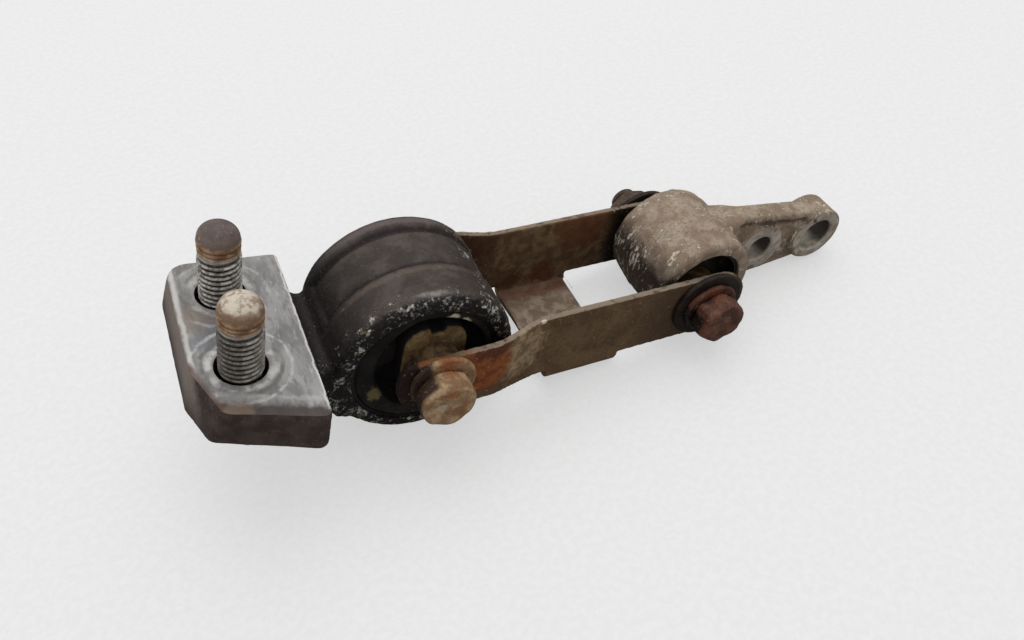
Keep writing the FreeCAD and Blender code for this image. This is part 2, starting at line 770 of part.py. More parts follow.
def add_eye(body):
    """The barrel round the small bush, crowned a little in the middle."""
    half = "( eye_width / 2 )"
    sketch = new_sketch(body, "XY_Plane")
    add_polygon(sketch, [(EYE_BORE, f"-1 * {half}"), ("eye_radius", f"-1 * {half}"),
                         ("eye_radius + eye_crown", "-1 * eye_crown_front"),
                         ("eye_radius + eye_crown", "eye_crown_back"),
                         ("eye_radius", half), (EYE_BORE, half)])
    revolve(body, sketch)
    end = size("eye_width") / 2
    for side, amount in ((-1, "eye_edge_front"), (1, "eye_edge_back")):
        round_edges(body, amount, lambda point: near(point.y, side * end)
                    and math.hypot(point.x, point.z) > size("eye_radius") - 0.1)


def add_arm(body):
    """The tapered arm, rooted in the barrel's wall, and the round boss at its end."""
    sketch = new_sketch(body, "XZ_Plane")
    wall = "( eye_radius - eye_wall / 2 )"
    root = [("arm_root_at", "arm_root_half")]
    root += [(f"{wall} * cos( {turn} )", f"{wall} * sin( {turn} )")
             for turn in ("arm_root_angle * 1deg", "0deg", "-1 * arm_root_angle * 1deg")]
    root += [("arm_root_at", "-1 * arm_root_half")]
    end = [("second_hole_at", "-1 * arm_taper_half"), ("second_hole_at", "arm_taper_half")]
    add_polygon(sketch, root + end)
    extrude(body, sketch, "arm_thickness", midplane=True)
    centre = ("second_hole_at", "0")
    add_disc(body, "XZ_Plane", "-1 * ( arm_thickness / 2 + end_boss_back )", "arm_end_half",
             "arm_thickness + boss_height + end_boss_back", at=centre)
    add_disc(body, "XZ_Plane", "0", "first_boss_radius", "arm_thickness / 2 + boss_height",
             at=("first_hole_at", "0"))


def add_arm_holes(body):
    sketch = new_sketch(body, "XZ_Plane")
    add_circle(sketch, "first_hole_at", "0", "first_hole_radius")
    add_circle(sketch, "second_hole_at", "0", "second_hole_radius")
    cut_through(body, sketch)


def make_arm_bracket():
    body = new_body("arm_bracket", ARM)
    add_eye(body)
    add_arm(body)
    add_arm_holes(body)


def build():
    """Makes every sub-part of the mount."""
    make_flange_housing()
    for name, side in (("front", "-0.5"), ("rear", "0.5")):
        make_flange_bolt("flange_bolt_" + name, side)
        make_flange_washer("flange_bolt_washer_" + name, side)
    make_large_bush_sleeve()
    make_large_bush_rubber()
    make_large_bush_core()
    make_large_bush_spacer()
    make_link_frame()
    make_large_fasteners()
    make_small_bush()
    make_arm_bracket()
    make_small_fasteners()


def check(body):
    """Stops the build where a feature failed or a sub-part isn't one valid solid."""
    for item in [body] + body.Group:
        if "Invalid" in item.State or "Error" in item.State:
            raise RuntimeError(f"{item.Name} failed: {item.State}")
    shape = body.Shape
    if shape.isNull() or not shape.isValid() or len(shape.Solids) != 1:
        raise RuntimeError(f"{body.Label} is not one valid solid")


build()
document.recompute()
os.makedirs("parts", exist_ok=True)
for body in nodes:
    check(body)
    body.Shape.exportStep(f"parts/{body.Label}.step")
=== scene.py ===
from math import cos, hypot, pi, radians, sin

import bmesh
import bpy
import numpy as np
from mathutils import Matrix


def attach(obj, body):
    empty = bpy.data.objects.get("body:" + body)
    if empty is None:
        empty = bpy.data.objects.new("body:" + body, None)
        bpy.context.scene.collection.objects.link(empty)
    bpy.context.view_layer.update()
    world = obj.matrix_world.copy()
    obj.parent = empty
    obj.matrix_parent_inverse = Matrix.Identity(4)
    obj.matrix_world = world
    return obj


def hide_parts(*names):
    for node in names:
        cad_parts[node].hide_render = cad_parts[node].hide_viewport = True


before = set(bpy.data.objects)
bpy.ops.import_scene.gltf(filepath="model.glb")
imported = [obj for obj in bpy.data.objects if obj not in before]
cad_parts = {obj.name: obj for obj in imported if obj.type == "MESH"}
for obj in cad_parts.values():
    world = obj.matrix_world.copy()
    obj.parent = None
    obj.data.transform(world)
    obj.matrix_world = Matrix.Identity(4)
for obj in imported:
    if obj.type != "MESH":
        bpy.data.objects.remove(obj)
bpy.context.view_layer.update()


# ---------------------------------------------------------------------------------------------
# The ground under the mount: one sheet of pale card, faintly mottled, lit softly from above
# by two large panels and by a white room. The camera stands where the photograph's did.

def seen(red, green, blue):
    """A colour as the eye reads it, 0 to 255, turned into light: the usual curve of power 2.4."""
    parts = np.array([red, green, blue]) / 255
    light = np.where(parts <= 0.04045, parts / 12.92, ((parts + 0.055) / 1.055) ** 2.4)
    return (*light.tolist(), 1)


def new_finish(name, roughness=0.6, metallic=0.0, specular=0.5):
    """A material with its surface shader ready."""
    finish = bpy.data.materials.new(name)
    finish.use_nodes = True
    shader = finish.node_tree.nodes["Principled BSDF"]
    shader.inputs["Roughness"].default_value = roughness
    shader.inputs["Metallic"].default_value = metallic
    shader.inputs["Specular IOR Level"].default_value = specular
    return finish, shader


def add(kind, sockets, **settings):
    """Adds a node beside those that feed it; its sockets take numbers or outputs of nodes."""
    tree = next(value.id_data for value in sockets.values() if isinstance(value, bpy.types.NodeSocket))
    made = tree.nodes.new("ShaderNode" + kind)
    for key, value in settings.items():
        setattr(made, key, value)
    for key, value in sockets.items():
        if isinstance(value, bpy.types.NodeSocket):
            tree.links.new(value, made.inputs[key])
        else:
            made.inputs[key].default_value = value
    return made


def millimetres(finish, centre=(0, 0, 0), tilt=0):
    """The place of a point in millimetres, from a centre and in a frame tilted about Y."""
    place = finish.node_tree.nodes.new("ShaderNodeTexCoord").outputs["Object"]
    return add("Mapping", {"Vector": place, "Location": [part / 1000 for part in centre],
                                   "Rotation": (0, radians(tilt), 0), "Scale": (0.001, 0.001, 0.001)},
               vector_type="TEXTURE").outputs["Vector"]


def fade(value, low, high):
    """Goes smoothly from 0 where the value is low to 1 where it is high."""
    return add("MapRange", {"Value": value, "From Min": low, "From Max": high},
               interpolation_type="SMOOTHSTEP").outputs["Result"]


def grain(place, size, detail=3, twist=0.0, roughness=0.55):
    """Soft random grain whose lumps are about as many millimetres across as the size."""
    return add("TexNoise", {"Vector": place, "Scale": 1 / size, "Detail": detail,
                                    "Roughness": roughness, "Distortion": twist}).outputs["Fac"]


def math(operation, first, second=0.0):
    """One sum of two values, either of them a number."""
    return add("Math", {0: first, 1: second}, operation=operation).outputs["Value"]


def both(first, second):
    """Two masks, or a mask and a share, times each other."""
    return math("MULTIPLY", first, second)


def over(mask, under, upper, share=1.0):
    """Lays one colour over another where the mask is 1, only by a share."""
    if share < 1:
        mask = both(mask, share)
    return add("Mix", {0: mask, 6: under, 7: upper}, data_type="RGBA").outputs[2]


def band(value, middle, width):
    """Is 1 at a middle value and falls to 0 a width away from it."""
    away = math("ABSOLUTE", math("SUBTRACT", value, middle))
    return fade(away, width, width * 0.15)


def mottled(place, size, dark, pale, detail=4, twist=0.3):
    """Two tones mixed by grain of one size."""
    return over(fade(grain(place, size, detail, twist), 0.36, 0.66), dark, pale)


def uneven(place, value, size, reach):
    """Shifts a value by grain, by at most about half the reach either way."""
    shift = both(math("SUBTRACT", grain(place, size, 4), 0.5), reach)
    return math("ADD", value, shift)


def relief(shader, layers):
    """Raises the surface by a sum of heights, each a mask and its height in millimetres."""
    total = 0.0
    for mask, height in layers:
        total = math("ADD", both(mask, height), total)
    bump = add("Bump", {"Height": total, "Distance": 0.001, "Strength": 1.0})
    shader.id_data.links.new(bump.outputs["Normal"], shader.inputs["Normal"])


def colour(shader, output):
    """Gives a surface its colour."""
    shader.id_data.links.new(output, shader.inputs["Base Color"])


def rough(shader, mask, low, high):
    """Roughness that goes from low where the mask is 0 to high where it is 1."""
    value = add("MapRange", {"Value": mask, "To Min": low, "To Max": high}).outputs["Result"]
    shader.id_data.links.new(value, shader.inputs["Roughness"])


GROUND_HALF = 2.5
mesh = bpy.data.meshes.new("ground")
mesh.from_pydata([(-GROUND_HALF, -GROUND_HALF, 0), (GROUND_HALF, -GROUND_HALF, 0),
                  (GROUND_HALF, GROUND_HALF, 0), (-GROUND_HALF, GROUND_HALF, 0)], [], [(0, 1, 2, 3)])
ground = bpy.data.objects.new("ground", mesh)
bpy.context.collection.objects.link(ground)
card, card_shader = new_finish("pale_card", roughness=0.9, specular=0.0)
sight = card.node_tree.nodes.new("ShaderNodeLightPath").outputs["Is Camera Ray"]
sheet = mottled(millimetres(card), 2.2, seen(155, 155, 155), seen(162, 162, 162), 5)
colour(card_shader, over(sight, seen(150, 150, 150), sheet))
card_shader.inputs["Emission Color"].default_value = seen(238, 238, 238)
card.node_tree.links.new(both(sight, 0.6), card_shader.inputs["Emission Strength"])
ground.data.materials.append(card)

world = bpy.data.worlds.new("white_room")
world.use_nodes = True
world.node_tree.nodes["Background"].inputs["Color"].default_value = (1, 1, 1, 1)
world.node_tree.nodes["Background"].inputs["Strength"].default_value = 0.62
bpy.context.scene.world = world

PANELS = {"panel_above": ((0.2, 0.45, 1.25), 1.3, 7.0), "panel_left": ((-1.1, 0.1, 0.8), 0.8, 1.3)}
for name, (stand, width, power) in PANELS.items():
    lamp = bpy.data.lights.new(name, "AREA")
    lamp.size = width
    lamp.energy = power
    panel = bpy.data.objects.new(name, lamp)
    panel.location = stand
    direction = np.array(stand)
    panel.rotation_euler = (radians(90) - np.arctan2(direction[2], hypot(*direction[:2])), 0,
                            np.arctan2(direction[1], direction[0]) + radians(90))
    bpy.context.collection.objects.link(panel)

eye_of_camera = bpy.data.cameras.new("camera")
eye_of_camera.lens = 28.78
eye_of_camera.sensor_width = 36
camera = bpy.data.objects.new("camera", eye_of_camera)
camera.location = (-0.08742, -0.16416, 0.2219)
camera.rotation_euler = (radians(40.74), 0, radians(-23.96))
bpy.context.collection.objects.link(camera)
bpy.context.scene.camera = camera
bpy.context.scene.view_settings.view_transform = "Standard"


# ---------------------------------------------------------------------------------------------
# The housing: one aluminium casting, a ring round the large bush with a neck to a thick plate.
# It came rough and dark from the mould; the plate's top, its two holes and the ring's bore
# were machined. Its frame lies in the ring's axis and is tilted about it.

RING_CENTRE = (-50.32, -0.06, 28.1)
HOUSING_TILT = 13.5
RING_RADIUS = 28.1
RING_BORE = 23.2
RING_HALF = 18.4
PLATE_TOP = 9.9
PLATE_BOTTOM = -2.9
PLATE_INNER = -33.6
PLATE_OUTER = -66.2
BOLT_LINE = -52.6
BOLT_SIDE = 14.2
HOLE_RADIUS = 7.1


def held(part):
    """Numbers kept between 0 and 1."""
    return np.clip(part, 0, 1)


def rounded(corners, steps=7):
    """A closed line through corners (x, y, radius), each corner turned into an arc that
    touches both sides; the last point is the first again."""
    corners = np.array(corners, float)
    line = []
    for before, here, after in zip(np.roll(corners, 1, 0), corners, np.roll(corners, -1, 0)):
        back = (before - here)[:2] / np.linalg.norm((before - here)[:2])
        onward = (after - here)[:2] / np.linalg.norm((after - here)[:2])
        half = np.arccos(np.clip(back @ onward, -1, 1)) / 2
        middle = here[:2] + (back + onward) / np.linalg.norm(back + onward) * here[2] / sin(half)
        share = np.linspace(-1, 1, steps)[:, None] * (pi / 2 - half)
        towards = -(back + onward) / np.linalg.norm(back + onward)
        along = (onward - back) / np.linalg.norm(onward - back)
        line.append(middle + here[2] * (towards * np.cos(share) + along * np.sin(share)))
    line = np.concatenate(line)
    return np.concatenate([line, line[:1]])


def evenly(line, step):
    """The same line with points about one step apart."""
    length = np.concatenate([[0], np.cumsum(np.linalg.norm(np.diff(line, axis=0), axis=1))])
    stops = np.linspace(0, length[-1], max(int(length[-1] / step) + 1, 3))
    return np.stack([np.interp(stops, length, part) for part in line.T], -1)


def turned(line, steps):
    """Turns a line of (radius, y) once round the Y axis: x = radius cos a, z = radius sin a."""
    angle = np.linspace(0, 2 * pi, steps + 1)[:, None]
    radius, y = line[:, 0], line[:, 1]
    return np.stack([radius * np.cos(angle), y + 0 * angle, radius * np.sin(angle)], -1)


def stacked(outline, reach, height, middle=(0, 0), inner=None):
    """Carries an outline along a third axis: at each level it lies at that height and is drawn
    in to its middle, or to an inner line, by one less the reach. Gives (along, up, height)."""
    target = np.array(middle) if inner is None else inner
    reach = np.array(reach)[:, None, None]
    flat = target + (outline - target) * reach
    tall = np.array(height)[:, None, None] + 0 * flat[..., :1]
    return np.concatenate([flat, tall], -1)


def placed(grid, centre, tilt):
    """Tilts points about Y, then moves them: x' = x cos t + z sin t, z' = z cos t - x sin t."""
    x, y, z = np.moveaxis(grid, -1, 0)
    c, s = cos(radians(tilt)), sin(radians(tilt))
    return np.stack([x * c + z * s, y, z * c - x * s], -1) + np.array(centre)


def new_piece(name, grids, sharp=35):
    """One object from grids of points in millimetres: each cell is a face, and the points that
    meet at seams and poles are merged, so every grid closes on itself."""
    points = np.concatenate([grid.reshape(-1, 3) for grid in grids]) / 1000
    faces = []
    first = 0
    for grid in grids:
        at = first + np.arange(grid.shape[0] * grid.shape[1]).reshape(grid.shape[:2])
        faces.append(np.stack([at[:-1, :-1], at[1:, :-1], at[1:, 1:], at[:-1, 1:]], -1).reshape(-1, 4))
        first += at.size
    mesh = bpy.data.meshes.new(name)
    mesh.from_pydata(points.tolist(), [], np.concatenate(faces).tolist())
    piece = bpy.data.objects.new(name, mesh)
    bpy.context.collection.objects.link(piece)
    work = bmesh.new()
    work.from_mesh(mesh)
    bmesh.ops.remove_doubles(work, verts=work.verts, dist=2e-6)
    bmesh.ops.dissolve_degenerate(work, edges=work.edges, dist=1e-7)
    bmesh.ops.recalc_face_normals(work, faces=work.faces)
    work.to_mesh(mesh)
    work.free()
    smooth(piece, sharp)
    return piece


def smooth(piece, sharp=35):
    """Shades a piece smoothly, with creases where its faces turn by more than an angle."""
    piece.data.shade_smooth()
    piece.data.set_sharp_from_angle(angle=radians(sharp))


def settle(piece):
    """Turns what a piece's modifiers make into its own mesh."""
    shown = piece.evaluated_get(bpy.context.evaluated_depsgraph_get())
    mesh = bpy.data.meshes.new_from_object(shown)
    piece.modifiers.clear()
    piece.data = mesh
    return piece


def fused(piece, cell, passes):
    """Makes one skin round a piece's overlapping parts, then rubs its edges round."""
    remesh = piece.modifiers.new("one_skin", "REMESH")
    remesh.mode = "VOXEL"
    remesh.voxel_size = cell / 1000
    remesh.use_smooth_shade = True
    rub = piece.modifiers.new("rubbed", "SMOOTH")
    rub.factor = 0.5
    rub.iterations = passes
    return settle(piece)


def lumps(points, size, seed):
    """Random heights from 0 to 1 on a lattice of cubes of one size, blended smoothly between."""
    table = np.random.default_rng(seed).random((24, 24, 24))
    cell = np.floor(points / size).astype(int)
    part = points / size - cell
    part = part * part * (3 - 2 * part)
    total = 0
    for corner in np.ndindex(2, 2, 2):
        weight = np.prod(np.where(corner, part, 1 - part), axis=-1)
        at = (cell + corner) % 24
        total = total + weight * table[at[..., 0], at[..., 1], at[..., 2]]
    return total


def points_of(piece):
    """A mesh's points and their outward directions, points in millimetres."""
    count = len(piece.data.vertices)
    points, outward = np.empty(count * 3), np.empty(count * 3)
    piece.data.vertices.foreach_get("co", points)
    piece.data.vertex_normals.foreach_get("vector", outward)
    return points.reshape(-1, 3) * 1000, outward.reshape(-1, 3)


def raise_skin(piece, height):
    """Moves each point outward by a height in millimetres, worked out from where it is; none
    goes below the ground."""
    points, outward = points_of(piece)
    points = points + outward * height(points)[:, None]
    points[:, 2] = np.maximum(points[:, 2], 0.02)
    piece.data.vertices.foreach_set("co", (points / 1000).ravel())
    piece.data.update()


def cut(piece, cutter):
    """Cuts one closed piece with another, which is used up."""
    tool = piece.modifiers.new("cut", "BOOLEAN")
    tool.object = cutter
    tool.operation = "DIFFERENCE"
    tool.solver = "MANIFOLD"
    settle(piece)
    bpy.data.objects.remove(cutter)
    return piece


def unplaced(points, centre, tilt):
    """Brings points of the whole mount back into a tilted frame."""
    return placed(points - np.array(centre), (0, 0, 0), -tilt)


def block(corners, low, high, centre, tilt):
    """A closed block for cutting: an outline in x and z, carried along y."""
    line = np.array(corners + corners[:1], float)
    grid = stacked(line, [0, 1, 1, 0], [low, low, high, high], line[:-1].mean(0))
    return new_piece("cutter", [placed(grid[..., [0, 2, 1]], centre, tilt)])


def drill(radius, low, high, centre, tilt, at=(0, 0), upright=False, steps=72):
    """A closed round tool along Y, or upright along Z, for boring a hole."""
    line = np.array([(0, low), (radius, low), (radius, high), (0, high)], float)
    grid = turned(line, steps)
    grid = grid[..., [0, 2, 1]] if upright else grid
    offset = (at[0], at[1], 0) if upright else (at[0], 0, at[1])
    return new_piece("cutter", [placed(grid + np.array(offset), centre, tilt)])


# The ring's section from its front edge round its two grooves to the raised lip at its back.
ring_line = rounded([(RING_BORE - 0.6, -RING_HALF, 0.3), (RING_RADIUS - 0.1, -RING_HALF, 2.7),
                     (RING_RADIUS, -4.0, 0.5), (RING_RADIUS - 1.5, -3.0, 0.5), (RING_RADIUS - 0.7, -0.2, 2.0),
                     (RING_RADIUS - 0.4, 10.2, 2.0), (RING_RADIUS - 1.6, 12.4, 0.7), (RING_RADIUS, 13.8, 1.0),
                     (RING_RADIUS, RING_HALF, 1.3), (RING_BORE - 0.6, RING_HALF, 0.3)])
ring_grid = turned(evenly(ring_line, 0.6), 240)

# The plate: five rounded corners, the front outer one cut off at a slant. Its outline is drawn at
# three levels, the foot, just under the top and the top, whose outer edges are worn round.
PLATE_LEVELS = [[(PLATE_INNER, -37.4, 2.6), (PLATE_INNER, 30.7, 2.0), (PLATE_OUTER - 1.7, 30.7, 7.0),
                 (PLATE_OUTER - 1.7, -16.5, 3.5), (-64.0, -28.2, 3.0)],
                [(PLATE_INNER, -37.8, 2.6), (PLATE_INNER, 29.1, 2.0), (PLATE_OUTER, 29.1, 7.0),
                 (PLATE_OUTER, -13.9, 5.0), (-60.6, -29.9, 3.5)],
                [(PLATE_INNER, -36.9, 2.2), (PLATE_INNER, 28.5, 2.0), (PLATE_OUTER + 0.6, 28.5, 6.0),
                 (PLATE_OUTER + 0.6, -13.6, 4.5), (-59.8, -29.3, 3.5)]]
plate_lines = np.array([rounded(level, 9) for level in PLATE_LEVELS])
plate_share = np.array([0, 0, 0, 0.02, 0.06, 0.12, 0.5, 0.86, 0.94, 1.02, 1.04, 1.04])[:, None, None]
plate_reach = np.array([0, 0.9, 0.955, 0.98, 0.994, 1, 1, 1, 1, 1, 1, 0])[:, None, None]
plate_flat = plate_lines[0] + (plate_lines[1] - plate_lines[0]) * held(plate_share / 0.86)
plate_flat = plate_flat + (plate_lines[2] - plate_lines[1]) * held((plate_share - 0.86) / 0.16) ** 1.4
plate_middle = np.array([-50, -2])
plate_flat = plate_middle + (plate_flat - plate_middle) * plate_reach
plate_sag = 1.7 * held((-27.5 - plate_flat[..., 1:]) / 7) * held(1 - plate_share)
plate_grid = np.concatenate([plate_flat, PLATE_BOTTOM + (PLATE_TOP - PLATE_BOTTOM) * plate_share
                             - plate_sag], -1)

def corner(part):
    """A cosine or sine flattened at its ends, which turns a circle into a rounded square."""
    return np.sign(part) * abs(part) ** (2 / 7)


# The neck: a block from inside the plate to inside the ring, waisted where the two part and
# swelling into both, so that its corners are fillets as the mould left them.
NECK_MIDDLE = -30.7
NECK_FILLET = 3.6
neck_x = np.linspace(-40, -19.5, 30)[:, None]
swell = NECK_FILLET - np.sqrt(np.maximum(NECK_FILLET ** 2
                                         - np.minimum(abs(neck_x - NECK_MIDDLE), NECK_FILLET) ** 2, 0))
neck_top = 5.6 + swell * np.where(neck_x < NECK_MIDDLE, 1.0, 0.85)
neck_low = np.interp(neck_x, [-40, -31.6, -25.6, -19.1], [-2.4, -9.5, -19.5, -20.6])
neck_back = 16.8 + swell * np.where(neck_x < NECK_MIDDLE, 1.0, 0.25)
neck_front = -17.6 - swell * np.where(neck_x < NECK_MIDDLE, 1.0, 0.1)
turn_round = np.linspace(0, 2 * pi, 65)
neck_y = (neck_back + neck_front) / 2 + (neck_back - neck_front) / 2 * corner(np.cos(turn_round))
neck_z = (neck_top + neck_low) / 2 + (neck_top - neck_low) / 2 * corner(np.sin(turn_round))
neck_grid = np.stack([neck_x + 0 * neck_y, neck_y, neck_z], -1)
neck_ends = neck_grid[[0, -1]].mean(1, keepdims=True) + 0 * neck_grid[[0, -1]]
neck_grid = np.concatenate([neck_ends[:1], neck_grid, neck_ends[1:]])

housing = new_piece("housing_casting", [placed(grid, RING_CENTRE, HOUSING_TILT)
                                        for grid in (ring_grid, plate_grid, neck_grid)])
fused(housing, 0.55, 3)


def casting_height(points):
    """Low swells from the mould, grit all over, crusts near the ring's front; the rubbing took
    a little off the upper side, which is given back."""
    x, y, z = unplaced(points, RING_CENTRE, HOUSING_TILT).T
    on_ring = held((x + 29.5) / 2)
    crusty = on_ring * held((-9 - y - 4 * lumps(points, 7, 5)) / 5) * held((np.hypot(x, z) - 22) / 2)
    crusty = crusty * np.clip((z + 24) / 10, 0.25, 1)
    crust_and_highlight = held(lumps(points, 1.6, 1) - 0.5) * 0.9 + held(lumps(points, 0.9, 2) - 0.5) * 0.5
    return (0.16 * (lumps(points, 8, 3) - 1.1) + 0.1 * (lumps(points, 2.2, 4) - 1) + crusty * (crust_and_highlight - 0.2)
            + 0.6 * on_ring * held((z + 8) / 12))


raise_skin(housing, casting_height)
above_plate = [(-80, PLATE_TOP), (-31.2, PLATE_TOP), (-31.2, 22), (-80, 22)]
cut(housing, block(above_plate, -60, 60, RING_CENTRE, HOUSING_TILT))
for side in (-1, 1):
    cut(housing, drill(HOLE_RADIUS, -30, 30, RING_CENTRE, HOUSING_TILT, (BOLT_LINE, side * BOLT_SIDE), True))
cut(housing, drill(RING_BORE, -40, 40, RING_CENTRE, HOUSING_TILT, steps=160))
smooth(housing, 32)


def spot(place, centre, reach, ragged, twist_size=3.0):
    """A stain about a centre, its rim broken up by grain; 1 inside, 0 outside."""
    away = add("VectorMath", {0: place, 1: centre}, operation="DISTANCE").outputs["Value"]
    away = math("ADD", away, both(math("SUBTRACT", grain(place, twist_size, 5, 0.6), 0.5), ragged))
    return fade(away, reach, reach * 0.62)


def dark_casting():
    """The dark brown skin of the casting: painted shade in the grooves, on the ring's front face,
    down its lower left side and the neck and towards the underside; painted highlights on the
    edge before the middle groove, on the raised band at the back and along the front bevel;
    pale salts that cluster at the ring's front and right edges, and a few yellow crumbs."""
    finish, shader = new_finish("dark_casting", specular=0.25)
    place = millimetres(finish, RING_CENTRE, HOUSING_TILT)
    axis = add("SeparateXYZ", {"Vector": place}).outputs
    along = uneven(place, axis["Y"], 2.5, 1.6)
    tone = mottled(place, 7, seen(60, 52, 48), seen(82, 73, 68))
    tone = over(fade(grain(place, 1.2, 4), 0.5, 0.72), tone, seen(52, 44, 40), 0.7)
    # Painted shade in the two grooves; painted highlights on the edge just in front of the middle groove and
    # on the raised band at the back.
    for middle, width, tint, share in ((-2.8, 1.8, seen(30, 22, 20), 0.9), (12.4, 2.0, seen(38, 29, 31), 0.9),
                                       (-5.6, 1.4, seen(112, 98, 84), 0.4),
                                       (16.0, 2.0, seen(112, 103, 100), 0.6)):
        tone = over(band(along, middle, width), tone, tint, share)
    right = fade(uneven(place, axis["X"], 3, 6), 8, 17)
    tone = over(right, tone, seen(50, 39, 32), 0.85)
    # Painted shade: the ring's lower left side and the neck made near black.
    shaded_flank = both(fade(uneven(place, axis["Z"], 6, 8), 25, 12), fade(axis["X"], -5, -17))
    tone = over(shaded_flank, tone, seen(24, 19, 17), 0.92)
    # Painted shade, darker towards the underside.
    tone = over(fade(axis["Z"], 2, -14), tone, seen(32, 26, 23), 0.85)
    outward = both(axis["X"], -1.0)
    on_plate = fade(outward, 32.2, 33.6)
    side = mottled(place, 5, seen(52, 41, 37), seen(72, 59, 54))
    left = both(fade(uneven(place, outward, 3, 1.5), 64.0, 65.6), fade(axis["Z"], -3, 7))
    side = over(left, side, seen(150, 138, 128), 0.6)
    side = over(fade(grain(place, 1.6, 5), 0.56, 0.72), side, seen(108, 88, 76), 0.35)
    tone = over(on_plate, tone, side)
    off_plate = math("SUBTRACT", 1.0, on_plate)
    forward = both(along, -1.0)
    # Painted shade: the ring's front face, turned away from the light, made near black.
    tone = over(both(fade(forward, 16.6, 17.9), off_plate), tone, seen(20, 16, 15))
    # Painted highlight: a pale streak along the bevel between the ring's top and its front face.
    bevel_highlight = both(band(forward, 15.9, 1.3), band(uneven(place, axis["X"], 2, 4), -1.5, 7))
    tone = over(bevel_highlight, tone, seen(150, 144, 138), 0.75)
    front = fade(both(axis["Y"], -1.0), 9, 18)
    low = both(fade(axis["Z"], 8, -16), fade(axis["X"], 0, -18))
    crowd = math("MAXIMUM", math("MAXIMUM", both(front, 0.8), low), both(right, 0.75))
    crowd = both(uneven(place, crowd, 5, 2.6), 0.16)
    level = math("ADD", grain(place, 1.7, 6, 0.2, 0.75), crowd)
    specks = both(fade(level, 0.65, 0.74), off_plate)
    tone = over(specks, tone, mottled(place, 1.0, seen(110, 104, 96), seen(214, 210, 204)), 0.9)
    crumbs = fade(math("ADD", grain(place, 2.6, 2), crowd), 0.82, 0.86)
    tone = over(both(crumbs, off_plate), tone, seen(126, 112, 66), 0.7)
    dust = fade(grain(place, 0.6, 3), 0.6, 0.72)
    tone = over(dust, tone, seen(134, 124, 116), 0.3)
    colour(shader, tone)
    rough(shader, grain(place, 3, 4), 0.45, 0.8)
    relief(shader, [(grain(place, 0.9, 4), 0.2), (grain(place, 3, 3), 0.3), (specks, 0.25)])
    return finish


def machined_face():
    """The plate's milled top: grey metal with drawn-out stains, paler in worn rings round both
    holes, along the outer edge and in a bright line beside the neck."""
    finish, shader = new_finish("machined_face", metallic=0.3, specular=0.45)
    place = millimetres(finish, RING_CENTRE, HOUSING_TILT)
    drawn = add("VectorMath", {0: place, 1: (1.0, 0.3, 1.0)}, operation="MULTIPLY").outputs["Vector"]
    axis = add("SeparateXYZ", {"Vector": place}).outputs
    tone = mottled(drawn, 5, seen(122, 120, 119), seen(160, 158, 156), 5, 0.6)
    tone = over(fade(grain(drawn, 1.3, 6), 0.5, 0.7), tone, seen(104, 100, 97), 0.55)
    tone = over(fade(grain(drawn, 0.9, 6), 0.55, 0.7), tone, seen(192, 190, 186), 0.5)
    tone = over(spot(place, (-56.0, -2.0, PLATE_TOP), 9.0, 5.0), tone, seen(112, 114, 124), 0.6)
    tone = over(spot(place, (-62.5, 5.0, PLATE_TOP), 7.0, 5.0), tone, seen(140, 124, 106), 0.5)
    for side, share in ((-1, 0.9), (1, 0.6)):
        away = add("VectorMath", {0: place, 1: (BOLT_LINE, side * BOLT_SIDE, PLATE_TOP)},
                   operation="DISTANCE").outputs["Value"]
        away = uneven(place, away, 5, 2.4)
        broken = both(fade(grain(place, 4, 5), 0.38, 0.62), share)
        for reach, width, tint in ((8.5, 1.5, seen(206, 204, 200)), (10.4, 0.9, seen(112, 107, 102)),
                                   (13.2, 0.8, seen(190, 187, 183))):
            tone = over(both(band(away, reach, width), broken), tone, tint)
    outward = uneven(place, both(axis["X"], -1.0), 3, 1.6)
    tone = over(band(outward, 64.6, 1.1), tone, seen(206, 204, 200), 0.8)
    tone = over(fade(outward, 65.0, 65.8), tone, seen(118, 110, 104), 0.7)
    tone = over(band(outward, 34.2, 0.5), tone, seen(216, 214, 210), 0.8)
    tone = over(fade(outward, 34.0, 33.6), tone, seen(60, 50, 46), 0.8)
    forward = uneven(place, both(axis["Y"], -1.0), 2.5, 3.0)
    brow = math("ADD", both(outward, 0.29), both(forward, 0.957))
    tone = over(band(brow, 39.2, 1.2), tone, seen(198, 196, 192), 0.3)
    tone = over(fade(brow, 40.4, 43.0), tone, seen(58, 46, 42), 0.9)
    slant = math("ADD", both(outward, 0.945), both(forward, 0.329))
    tone = over(fade(slant, 64.2, 65.8), tone, seen(96, 74, 62), 0.85)
    tone = over(spot(place, (-56.5, -30.5, PLATE_TOP), 5.0, 4.0), tone, seen(140, 120, 102), 0.5)
    colour(shader, tone)
    rough(shader, grain(drawn, 2, 5), 0.38, 0.65)
    relief(shader, [(grain(drawn, 0.9, 5), 0.08), (grain(place, 6, 3), 0.3)])
    return finish


def dress(piece, *finishes):
    """Gives a piece its finishes, the first of them on every face."""
    piece.data.materials.clear()
    for finish in finishes:
        piece.data.materials.append(finish)


def paint_faces(piece, finishes, choice):
    """Gives each face one of the finishes, by a rule on the faces' middles."""
    dress(piece, *finishes)
    count = len(piece.data.polygons)
    middles = np.empty(count * 3)
    piece.data.polygons.foreach_get("center", middles)
    index = choice(middles.reshape(-1, 3) * 1000)
    piece.data.polygons.foreach_set("material_index", index.astype(np.int32))


def housing_choice(middles):
    """The machined face is where the casting was cut flat at the plate's top."""
    x, _, z = unplaced(middles, RING_CENTRE, HOUSING_TILT).T
    return (abs(z - PLATE_TOP) < 0.02) & (x < -30)


paint_faces(housing, [dark_casting(), machined_face()], housing_choice)
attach(housing, "housing")
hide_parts("flange_housing")


